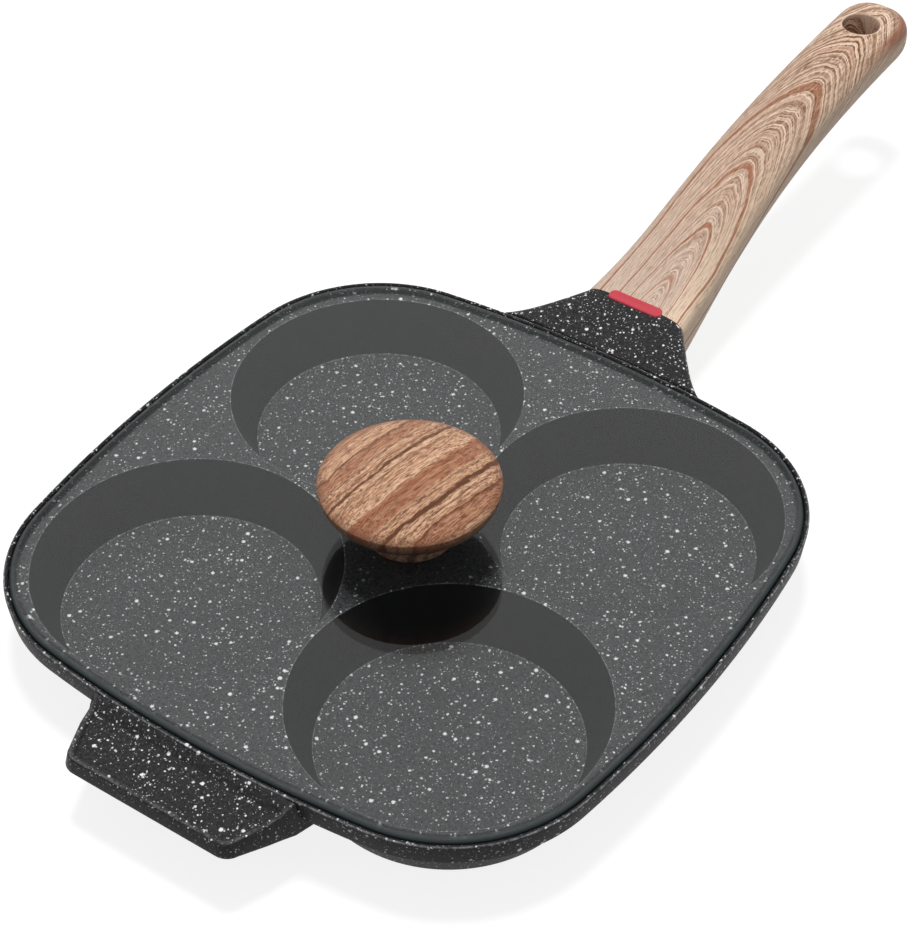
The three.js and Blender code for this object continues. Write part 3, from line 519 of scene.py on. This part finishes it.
def handle_shape(x):
    """Half width, half height, level and squareness of the handle at one x."""
    along = progress(x, JOINT_X, HANDLE_LENGTH)
    spare = max(1 - (TAIL_X - x) / TAIL_ROUND, 0)
    end = max(1 - spare ** SECTION_POWER, 0) ** (1 / SECTION_POWER)
    half_width = TAIL_HALF_WIDTH + (ROOT_HALF_WIDTH - TAIL_HALF_WIDTH) * (1 - along) ** WAIST_POWER
    half_height = ROOT_HALF_HEIGHT + (TAIL_HALF_HEIGHT - ROOT_HALF_HEIGHT) * along
    half_height += BELLY * math.sin(math.pi * along)
    level = float(np.interp(x, middle_points[:, 0], middle_points[:, 1]))
    power = SECTION_POWER + ROOT_SQUARENESS * max(1 - (x - JOINT_X) / ROOT_BLEND, 0) ** 2
    return half_width * end, half_height * end ** TAIL_FULLNESS, level, power


stations = list(np.linspace(JOINT_X + JOINT_GAP, TAIL_X - TAIL_ROUND, 110))
stations += [TAIL_X - TAIL_ROUND * (1 - math.sin(a)) for a in np.radians(np.linspace(4, 89.3, 26))]
handle = weld(closed([section(x, *handle_shape(x)) for x in stations]), "long_handle")
half_height, hang_level = handle_shape(HANG_X)[1:3]
low_z, top_z = hang_level - half_height, hang_level + half_height
lip_radius = HANG_RADIUS + HANG_ROUND
bore = [(0.0, low_z - BORE_OVER), (HANG_RADIUS + BORE_WIDE, low_z - BORE_OVER)]
bore += arc(lip_radius, low_z + HANG_DEPTH, HANG_ROUND, 245, 180, 6)
bore += arc(lip_radius, top_z - HANG_DEPTH, HANG_ROUND, 180, 115, 6)
bore += [(HANG_RADIUS + BORE_WIDE, top_z + BORE_OVER), (0.0, top_z + BORE_OVER)]
cut(handle, weld([revolve(bore, 72, HANG_X, 0)], "hanging_bore"))
tilt = Matrix.Translation((JOINT_X + PAN_X, 0, ROOT_LEVEL))
tilt = tilt @ Matrix.Rotation(math.radians(TONGUE_TILT), 4, "Y")
pocket = [(0.0, POCKET_MOUTH), (POCKET_RADIUS, POCKET_MOUTH)]
pocket += [(POCKET_RADIUS, POCKET_FLOOR), (0.0, POCKET_FLOOR)]
pocket_verts, pocket_faces = revolve(pocket, 48, POCKET_ALONG, 0)
pocket_verts = np.array([tilt @ Vector(v) for v in pocket_verts]) - [PAN_X, 0, 0]
cut(handle, weld([(pocket_verts, pocket_faces)], "screw_pocket"))


def mark_grain(obj, coordinates):
    """Millimetre coordinates that the printed grain is laid out in."""
    layer = obj.data.attributes.new("grain", "FLOAT_VECTOR", "POINT")
    layer.data.foreach_set("vector", np.asarray(coordinates, float).ravel())


def points_of(obj):
    flat = np.zeros(len(obj.data.vertices) * 3)
    obj.data.vertices.foreach_get("co", flat)
    return flat.reshape(-1, 3) / MM - [PAN_X, 0, 0]


# The print is unrolled over the flanks, so that its lines run on down the sides.
x, y, z = points_of(handle).T
level = np.interp(x, middle_points[:, 0], middle_points[:, 1])
drop = np.maximum(FLANK_START * ROOT_HALF_HEIGHT - (z - level), 0)
mark_grain(handle, np.c_[x - JOINT_X, y * (1 + drop / (np.abs(y) + FLANK_SOFT)), z - level])


def srgb(r, g, b):
    linear = [c / 255 / 12.92 if c <= 10 else ((c / 255 + 0.055) / 1.055) ** 2.4 for c in (r, g, b)]
    return (*linear, 1.0)


def grain_parts(tree):
    grain = node(tree, "ShaderNodeAttribute", attribute_name="grain").outputs["Vector"]
    return grain, *node(tree, "ShaderNodeSeparateXYZ", {0: grain}).outputs[:3]


def streaks(tree, grain, along, across, detail=3.0, rough=0.55, scale=1.0):
    """Noise with its own rate along the grain and across it."""
    spread = vector_node(tree, "MULTIPLY", {0: grain, 1: (along, across, across)})
    return noise(tree, spread, scale, detail, rough).outputs[0]


def bands(tree, ring, rate, offset, detail=2.0):
    """Noise along the growth rings, so that each ring keeps one tone."""
    inputs = {"W": math_node(tree, "MULTIPLY_ADD", ring, rate, offset), "Scale": 1.0, "Detail": detail}
    return node(tree, "ShaderNodeTexNoise", inputs, noise_dimensions="1D").outputs[0]


def reach_of(tree, a, b):
    return math_node(tree, "SQRT", math_node(tree, "ADD", times(tree, a, a), times(tree, b, b)))


arches, tree, shader = new_material("arched_wood_print")
grain, gx, gy = grain_parts(tree)[:3]
drift = math_node(tree, "MULTIPLY_ADD", streaks(tree, grain, 0.012, 0.0, 1.0), 9.0, -8.6)
across = math_node(tree, "SUBTRACT", gy, drift)
ring = reach_of(tree, across, math_node(tree, "MULTIPLY_ADD", gx, 0.15, 2.4))
ring = math_node(tree, "MULTIPLY_ADD", streaks(tree, grain, 0.035, 0.1, 2.0), 1.5, ring)
ring = math_node(tree, "MULTIPLY_ADD", streaks(tree, grain, 0.4, 0.9, 2.0), 0.16, ring)

broad = remap(tree, bands(tree, ring, 0.45, 3.0), 0.35, 0.65)
color = blend(tree, broad, srgb(238, 213, 193), srgb(217, 187, 164))
color = blend(tree, remap(tree, gx, 60.0, 10.0, 0.0, 0.75), color, srgb(220, 199, 183))
# Painted light: the print is lightened towards the tail and down the right flank, which the lamp leaves
# in shade.
color = blend(tree, remap(tree, gx, 85.0, 140.0, 0.0, 0.85), color, srgb(250, 218, 190))
color = blend(tree, remap(tree, gy, -8.0, -15.0, 0.0, 0.75), color, srgb(255, 226, 196))
strong = times(tree, remap(tree, gx, 4.0, 110.0, 0.45, 1.25), remap(tree, gy, -16.0, -7.0, 0.5, 1.0))
soft = remap(tree, bands(tree, ring, 2.6, 9.0), 0.48, 0.6, 0.0, 0.7)
color = blend(tree, times(tree, soft, strong), color, srgb(152, 111, 82))
dashes = remap(tree, streaks(tree, grain, 0.26, 1.5, 3.0, 0.65), 0.42, 0.53, 0.35, 1.0)
fine = remap(tree, bands(tree, ring, 6.5, 70.0), 0.46, 0.57, 0.0, 0.75)
color = blend(tree, times(tree, fine, strong, dashes), color, srgb(118, 80, 56))
russet = remap(tree, bands(tree, ring, 0.62, 31.0, 1.0), 0.64, 0.72, 0.0, 0.85)
color = blend(tree, russet, color, srgb(158, 100, 70))
lines = remap(tree, bands(tree, ring, 5.2, 50.0, 1.0), 0.54, 0.64, 0.0, 0.85)
broken = remap(tree, streaks(tree, grain, 0.1, 0.7, 3.0), 0.36, 0.56)
lines = times(tree, lines, broken, dashes, strong)
color = blend(tree, lines, color, srgb(98, 62, 40))
pores = remap(tree, streaks(tree, grain, 0.2, 1.9, 3.0, 0.65, 1.2), 0.55, 0.62, 0.0, 0.42)
color = blend(tree, pores, color, srgb(124, 86, 62))
gleam = remap(tree, streaks(tree, grain, 0.16, 1.6, 3.0, 0.65, 1.4), 0.55, 0.63, 0.0, 0.32)
color = blend(tree, gleam, color, srgb(236, 208, 186))
past = math_node(tree, "MAXIMUM", math_node(tree, "SUBTRACT", gx, HANDLE_LENGTH - TAIL_ROUND), 0.0)
tail_band = remap(tree, reach_of(tree, times(tree, past, 0.93), gy), 9.4, 10.8, 0.0, 0.85)
tail_band = times(tree, tail_band, remap(tree, gx, 118.0, 146.0))
tail_band = times(tree, tail_band, remap(tree, gy, -15.0, -12.5), remap(tree, gy, 7.0, -3.0))
color = blend(tree, tail_band, color, srgb(150, 92, 64))
bore_reach = reach_of(tree, math_node(tree, "SUBTRACT", gx, HANG_X - JOINT_X), gy)
color = blend(tree, remap(tree, bore_reach, 7.0, 6.5, 0.0, 0.8), color, srgb(240, 208, 186))
relief = {"Strength": 0.25, "Distance": 0.00015, "Height": math_node(tree, "SUBTRACT", 1.0, lines)}
wire(tree, shader, {
    "Base Color": color,
    "Roughness": 0.5,
    "Specular IOR Level": 0.35,
    "Normal": node(tree, "ShaderNodeBump", relief).outputs[0],
})
handle.data.materials.clear()
handle.data.materials.append(arches)
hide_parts("handle")

# Handle screw and washer. Bright steel, driven from below through the handle into the tongue; they sit
# at the bottom of the pocket under the grip's wide end. The knob's screw and washer are the same steel.
BRIGHT_DARK, BRIGHT_LIGHT = (0.5, 0.5, 0.51, 1), (0.66, 0.66, 0.67, 1)
bright, tree, shader = new_material("bright_steel")
wear = noise(tree, object_place(tree), 600.0, 3.0).outputs[0]
wire(tree, shader, {
    "Base Color": blend(tree, wear, BRIGHT_DARK, BRIGHT_LIGHT),
    "Metallic": 1.0,
    "Roughness": remap(tree, wear, 0.0, 1.0, 0.22, 0.4),
})
dress(("handle_screw", "handle_washer", "knob_washer", "knob_screw"), bright)

# Red inlay. A plain moulded bar with round ends, pressed into a pocket across the joint of neck and
# handle; its top follows the curve of both and stands a little proud with rounded edges.
INLAY_LENGTH, INLAY_WIDTH, INLAY_X = 19.4, 4.0, JOINT_X + 0.2
INLAY_DEPTH, INLAY_PROUD, INLAY_ROUND = 1.6, 0.35, 0.6


def crown_height(x, y):
    half_width, half_height, level, power = handle_shape(max(x, JOINT_X))
    return level + half_height * max(1 - abs(y / half_width) ** power, 0) ** (1 / power)


def inlay_ring(inset, lift):
    reach, radius = (INLAY_LENGTH - INLAY_WIDTH) / 2, INLAY_WIDTH / 2 - inset
    outline = arc(INLAY_X, reach, radius, 0, 180, 20) + arc(INLAY_X, -reach, radius, 180, 360, 20)
    return np.array([(x, y, crown_height(x, y) + lift) for x, y in outline])


inlay_rings = [inlay_ring(0.0, -INLAY_DEPTH)]
for turn in np.radians(np.linspace(0, 90, 7)):
    lift = INLAY_PROUD - INLAY_ROUND + INLAY_ROUND * math.sin(turn)
    inlay_rings.append(inlay_ring(INLAY_ROUND * (1 - math.cos(turn)), lift))
inlay_rings += [inlay_ring(inset, INLAY_PROUD) for inset in (1.0, 1.5, 1.9)]
inlay = make("red_inlay", closed(inlay_rings), "pan")
red, tree, shader = new_material("red_plastic")
cloud = noise(tree, object_place(tree), 500.0, 3.0).outputs[0]
wire(tree, shader, {
    "Base Color": blend(tree, cloud, srgb(190, 68, 78), srgb(206, 82, 92)),
    "Roughness": 0.6,
    "Specular IOR Level": 0.25,
})
inlay.data.materials.append(red)
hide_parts("handle_inlay")

# Glass lid. Flat toughened glass with ground, rounded edges that look dark green along the cut;
# it lies loose inside the rim and has one hole in the middle for the knob's screw.
GLASS_BOTTOM, GLASS_TOP = 22.3, 25.8
GLASS_INSET, GLASS_BEVEL, GLASS_HOLE = 1.6, 0.4, 2.9
CUT_WIDTH, CUT_DROP = 2.4, 1.6  # the ground edge rounds off this far in and down
# The ground edge is drawn opaque, pale at its top and dark lower down; the darkening is painted shade
# of the edge and the gap under it.
CUT_PALE, CUT_DARK = (0.078, 0.086, 0.09, 1), (0.013, 0.02, 0.021, 1)
edge_profile = arc(GLASS_INSET + GLASS_BEVEL, GLASS_BOTTOM + GLASS_BEVEL, GLASS_BEVEL, 270, 180, 6)
for turn in np.radians(np.linspace(0, 90, 9)):
    inset = GLASS_INSET + CUT_WIDTH * (1 - math.cos(turn))
    edge_profile.append((inset, GLASS_TOP - CUT_DROP + CUT_DROP * math.sin(turn)))
edge_rings = [pan_ring(inset, z) for inset, z in edge_profile]
hole_low, hole_high = circle(GLASS_HOLE, GLASS_BOTTOM, 48), circle(GLASS_HOLE, GLASS_TOP, 48)
pane = [stack(edge_rings), fill(edge_rings[-1], [hole_high])]
pane += [fill(edge_rings[0], [hole_low], up=False), stack([hole_high, hole_low])]
lid = weld(pane, "glass_lid")
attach(lid, "lid")
lid.data.shade_smooth()
for face in lid.data.polygons:
    face.use_smooth = abs(face.normal.z) < 0.999
heights = points_of(lid)[:, 2]
low_cut, high_cut = (heights - GLASS_BOTTOM) / GLASS_BEVEL, (GLASS_TOP - heights) / CUT_DROP
cut_share = np.clip(np.where(heights > GLASS_BOTTOM + GLASS_BEVEL, high_cut, low_cut), 0, 1)
lid.data.attributes.new("cut", "FLOAT", "POINT").data.foreach_set("value", cut_share)

glass, tree, shader = new_material("lid_glass")
smear = remap(tree, noise(tree, object_place(tree), 30.0, 4.0).outputs[0], 0.0, 1.0, 0.0, 0.02)
cut_look = node(tree, "ShaderNodeAttribute", attribute_name="cut").outputs["Fac"]
satin = remap(tree, cut_look, 0.0, 0.06, 0.0, 0.45)
wire(tree, shader, {
    "Base Color": (1.0, 1.0, 1.0, 1.0),
    "Transmission Weight": 1.0,
    "IOR": 1.5,
    "Roughness": math_node(tree, "MAXIMUM", smear, satin),
})
# Painted shade: the cut's colour runs from pale at the top to dark lower down.
ground = {"Base Color": blend(tree, remap(tree, cut_look, 0.05, 0.6), CUT_PALE, CUT_DARK)}
ground.update({"Roughness": 0.5, "Specular IOR Level": 0.12})
ground = node(tree, "ShaderNodeBsdfPrincipled", ground).outputs[0]
ground_share = {0: cut_look, 1: 0.0, 2: 0.25, 3: 0.0, 4: 0.96}
ground_share = node(tree, "ShaderNodeMapRange", ground_share, interpolation_type="SMOOTHSTEP")
pane_look = {0: ground_share.outputs[0], 1: shader.outputs[0], 2: ground}
pane_look = node(tree, "ShaderNodeMixShader", pane_look).outputs[0]
rays = node(tree, "ShaderNodeLightPath").outputs
passing = math_node(tree, "MAXIMUM", rays["Is Shadow Ray"], rays["Is Diffuse Ray"])
clear = node(tree, "ShaderNodeBsdfTransparent", {"Color": (0.94, 0.95, 0.95, 1)}).outputs[0]
mixed = node(tree, "ShaderNodeMixShader", {0: passing, 1: pane_look, 2: clear}).outputs[0]
green = {"Color": (0.45, 0.75, 0.74, 1), "Density": 7.0}
green = node(tree, "ShaderNodeVolumeAbsorption", green).outputs[0]
wire(tree, tree.nodes["Material Output"], {"Surface": mixed, "Volume": green})
lid.data.materials.clear()
lid.data.materials.append(glass)
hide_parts("lid_glass")

# Knob. A turned mushroom of bakelite with a printed straight grain: a foot on the glass, a slim stem
# and a wide, gently domed head. A brass insert in its bore takes the screw from below.
KNOB_RADIUS, KNOB_TOP, KNOB_WIDEST = 26.5, GLASS_TOP + 24.6, GLASS_TOP + 19.4
KNOB_WAIST, KNOB_WAIST_Z, KNOB_SHOULDER = 9.6, GLASS_TOP + 6.5, 16.4
FOOT_RADIUS, FOOT_ROUND, FOOT_BOTTOM, FOOT_RECESS = 12.8, 0.6, GLASS_TOP + 0.3, 7.9
GRAIN_SLANT, STRIPE_LEVEL = 0.15, 24.0
# Each stripe: its middle across the grain, half width and soft edge in millimetres, and strength.
WIDE_STRIPES = (
    (14.2, 1.0, 1.6, 0.55), (-4.0, 0.6, 1.0, 0.75), (-6.8, 1.8, 1.2, 0.6),
    (-22.5, 2.0, 1.5, 0.5), (23.5, 0.8, 1.5, 0.4),
)
DARK_STRIPES = (
    (6.2, 0.35, 0.6, 0.9), (8.2, 0.1, 0.4, 0.6), (-13.8, 0.6, 0.7, 0.95),
    (16.2, 0.15, 0.4, 0.8), (-20.3, 0.2, 0.5, 0.8), (3.5, 0.1, 0.5, 0.5),
    (-10.4, 0.1, 0.4, 0.6), (-17.0, 0.1, 0.4, 0.6), (11.0, 0.1, 0.4, 0.5),
)


def bezier(a, b, c, d, steps):
    u = np.linspace(0, 1, steps + 1)[:, None]
    a, b, c, d = (np.array(p) for p in (a, b, c, d))
    run = (1 - u) ** 3 * a + 3 * (1 - u) ** 2 * u * b + 3 * (1 - u) * u * u * c + u ** 3 * d
    return [tuple(p) for p in run]


waist, widest = (KNOB_WAIST, KNOB_WAIST_Z), (KNOB_RADIUS, KNOB_WIDEST)
foot_edge, foot_curve = (13.2, GLASS_TOP + 1.7), (12.6, GLASS_TOP + 3.2)
stem_curve, edge_curve = (KNOB_WAIST, KNOB_WAIST_Z + 6), (KNOB_RADIUS - 0.4, KNOB_WIDEST - 10.5)
rim_curve, dome_curve = (KNOB_RADIUS, KNOB_WIDEST + 1.4), (KNOB_SHOULDER, KNOB_TOP)
knob_profile = [(FOOT_RECESS, FOOT_BOTTOM + FOOT_ROUND), (FOOT_RECESS, FOOT_BOTTOM)]
knob_profile += [(FOOT_RADIUS, FOOT_BOTTOM)]
knob_profile += arc(FOOT_RADIUS, FOOT_BOTTOM + FOOT_ROUND, FOOT_ROUND, -60, 0, 3)
knob_profile += bezier(foot_edge, foot_curve, (KNOB_WAIST, KNOB_WAIST_Z - 2), waist, 12)
knob_profile += bezier(waist, stem_curve, edge_curve, widest, 40)[1:]
knob_profile += bezier(widest, rim_curve, dome_curve, (0.0, KNOB_TOP), 48)[1:-1]
knob_profile += [(0.0, KNOB_TOP)]
knob = make("lid_knob_head", [revolve(knob_profile, 128)], "lid", sharp=50)
x, y, z = points_of(knob).T
mark_grain(knob, np.c_[x, y + GRAIN_SLANT * x, z - GLASS_TOP])

stripes, tree, shader = new_material("striped_wood_print")
grain, gx, gy, gz = grain_parts(tree)
ring = math_node(tree, "MULTIPLY_ADD", math_node(tree, "SUBTRACT", gz, STRIPE_LEVEL), 0.2, gy)
ring = math_node(tree, "MULTIPLY_ADD", streaks(tree, grain, 0.05, 0.09, 2.0), 4.0, ring)
ring = math_node(tree, "MULTIPLY_ADD", streaks(tree, grain, 0.25, 0.6, 3.0, 0.65), 2.6, ring)
ring = math_node(tree, "SUBTRACT", ring, 3.3)


def lay_stripes(color, sizes, tone):
    for middle, half, soft, strength in sizes:
        off = math_node(tree, "ABSOLUTE", math_node(tree, "SUBTRACT", ring, middle))
        color = blend(tree, remap(tree, off, half + soft, half, 0.0, strength), color, tone)
    return color


broad = remap(tree, bands(tree, ring, 0.3, 4.0), 0.35, 0.65)
color = blend(tree, broad, srgb(223, 181, 148), srgb(200, 155, 122))
pores = remap(tree, streaks(tree, grain, 0.2, 1.9, 3.0, 0.65), 0.51, 0.57, 0.0, 0.6)
color = blend(tree, pores, color, srgb(122, 70, 44))
gleam = remap(tree, streaks(tree, grain, 0.22, 2.0, 2.0, 0.6, 1.3), 0.56, 0.62, 0.0, 0.5)
color = blend(tree, gleam, color, srgb(238, 204, 176))
color = lay_stripes(color, WIDE_STRIPES, srgb(144, 80, 50))
shadow = remap(tree, bands(tree, ring, 1.6, 12.0), 0.55, 0.66, 0.0, 0.45)
color = blend(tree, shadow, color, srgb(126, 76, 48))
color = lay_stripes(color, DARK_STRIPES, srgb(90, 48, 27))
fibres = remap(tree, streaks(tree, grain, 0.28, 2.6, 2.0, 0.6, 1.1), 0.54, 0.6, 0.0, 0.72)
color = blend(tree, fibres, color, srgb(90, 48, 28))
# Painted shade: the print darkens towards the rim of the head, where the dome turns down.
reach = reach_of(tree, gx, math_node(tree, "MULTIPLY_ADD", gx, -GRAIN_SLANT, gy))
color = blend(tree, remap(tree, reach, 23.5, 26.3, 0.0, 0.55), color, srgb(104, 62, 40))
# Painted shade: the underside of the head and the foot are darkened, the head's underside nearly to
# black.
head, foot = remap(tree, gz, 14.5, 18.6, 0.06, 1.0), remap(tree, gz, 6.0, 1.0, 0.0, 0.5)
color = blend(tree, math_node(tree, "MAXIMUM", head, foot), srgb(24, 17, 13), color)
relief = {"Strength": 0.4, "Distance": 0.0002, "Height": math_node(tree, "SUBTRACT", 1.0, pores)}
wire(tree, shader, {
    "Base Color": color,
    "Roughness": 0.5,
    "Specular IOR Level": 0.35,
    "Normal": node(tree, "ShaderNodeBump", relief).outputs[0],
})
knob.data.materials.append(stripes)
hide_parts("lid_knob")

brass, tree, shader = new_material("insert_brass")
wear = noise(tree, object_place(tree), 700.0, 3.0).outputs[0]
wire(tree, shader, {
    "Base Color": blend(tree, wear, (0.42, 0.27, 0.07, 1), (0.6, 0.42, 0.14, 1)),
    "Metallic": 1.0,
    "Roughness": 0.35,
})
dress(["knob_insert"], brass)

# Gaskets. Two thin black silicone rings, punched from sheet, that keep the knob's foot and the steel
# washer off the glass; the screw clamps one on each side of the pane.
silicone, tree, shader = new_material("black_silicone")
dust = noise(tree, object_place(tree), 800.0, 3.0).outputs[0]
wire(tree, shader, {
    "Base Color": blend(tree, dust, (0.008, 0.008, 0.008, 1), (0.022, 0.022, 0.022, 1)),
    "Roughness": 0.65,
})
dress(("knob_gasket_upper", "knob_gasket_lower"), silicone)

# Stage. A white table that shows as a bright ground and keeps the shadow, a pale surround and one round
# overhead panel. The panel only lights the part: the lid mirrors the surround and not the lamp.
TABLE_HALF, TABLE_Z = 4, -0.0002
TABLE_GLOW, AMBIENT, BACKDROP = 0.84, 0.32, 0.62
LAMP_RISE, LAMP_SIDE, LAMP_DISTANCE = math.radians(82), (0.8, 0.6), 1.6
LAMP_TARGET = (PAN_X * MM, 0, 0.02)


def seen_rays(tree):
    rays = node(tree, "ShaderNodeLightPath").outputs
    mirrored = math_node(tree, "MAXIMUM", rays["Is Glossy Ray"], rays["Is Transmission Ray"])
    return math_node(tree, "MAXIMUM", rays["Is Camera Ray"], mirrored)


corner_signs = ((-1, -1), (1, -1), (1, 1), (-1, 1))
corners = [(sx * TABLE_HALF, sy * TABLE_HALF, TABLE_Z) for sx, sy in corner_signs]
floor_mesh = bpy.data.meshes.new("table")
floor_mesh.from_pydata(corners, [], [(0, 1, 2, 3)])
table = bpy.data.objects.new("table", floor_mesh)
bpy.context.scene.collection.objects.link(table)
white, tree, shader = new_material("white_table")
wire(tree, shader, {
    "Base Color": (0.28, 0.28, 0.28, 1),
    "Roughness": 0.9,
    "Specular IOR Level": 0.0,
})
glow = {"Color": (1, 1, 1, 1), "Strength": times(tree, seen_rays(tree), TABLE_GLOW)}
glow = node(tree, "ShaderNodeEmission", glow).outputs[0]
lit = node(tree, "ShaderNodeAddShader", {0: shader.outputs[0], 1: glow}).outputs[0]
wire(tree, tree.nodes["Material Output"], {"Surface": lit})
floor_mesh.materials.append(white)

world = bpy.data.worlds.new("surround")
bpy.context.scene.world = world
world.use_nodes = True
tree = world.node_tree
ambient = tree.nodes["Background"]
wire(tree, ambient, {"Color": (1, 1, 1, 1), "Strength": AMBIENT})
backdrop = node(tree, "ShaderNodeBackground", {"Color": (1, 1, 1, 1), "Strength": BACKDROP}).outputs[0]
mixed = {0: seen_rays(tree), 1: ambient.outputs[0], 2: backdrop}
mixed = node(tree, "ShaderNodeMixShader", mixed).outputs[0]
wire(tree, tree.nodes["World Output"], {"Surface": mixed})

panel = bpy.data.lights.new("key_panel", "AREA")
panel.shape = "DISK"
panel.size = 0.4
panel.energy = 20.0
lamp = bpy.data.objects.new("key_panel", panel)
bpy.context.scene.collection.objects.link(lamp)
toward = Vector([side * math.cos(LAMP_RISE) for side in LAMP_SIDE] + [math.sin(LAMP_RISE)])
lamp.location = Vector(LAMP_TARGET) + LAMP_DISTANCE * toward
lamp.rotation_euler = toward.to_track_quat("Z", "Y").to_euler()
lamp.visible_glossy = False
lamp.visible_transmission = False

# Camera at the photograph's viewing angle, found from the rims of the four cups.
SENSOR, FOCAL_PIXELS, IMAGE_HEIGHT = 36.0, 2613.675, 931.0
CAMERA_AZIMUTH, CAMERA_RISE, CAMERA_ROLL = -54.51451, 42.61318, -0.47496
CAMERA_PLACE = (-0.43378 + PAN_X * MM, -0.32488, 0.54996)
camera = bpy.data.cameras.new("camera")
camera.sensor_width = SENSOR
camera.lens = FOCAL_PIXELS * SENSOR / IMAGE_HEIGHT
eye = bpy.data.objects.new("camera", camera)
bpy.context.scene.collection.objects.link(eye)
az, el, roll = (math.radians(v) for v in (CAMERA_AZIMUTH, CAMERA_RISE, CAMERA_ROLL))
back = np.array([math.sin(az) * math.cos(el), -math.cos(az) * math.cos(el), math.sin(el)])
level_right = np.array([math.cos(az), math.sin(az), 0.0])
level_up = np.cross(back, level_right)
right = math.cos(roll) * level_right + math.sin(roll) * level_up
up = -math.sin(roll) * level_right + math.cos(roll) * level_up
turn = Matrix(np.c_[right, up, back].tolist()).to_4x4()
eye.matrix_world = Matrix.Translation(CAMERA_PLACE) @ turn
bpy.context.scene.camera = eye
bpy.context.scene.view_settings.view_transform = "Standard"
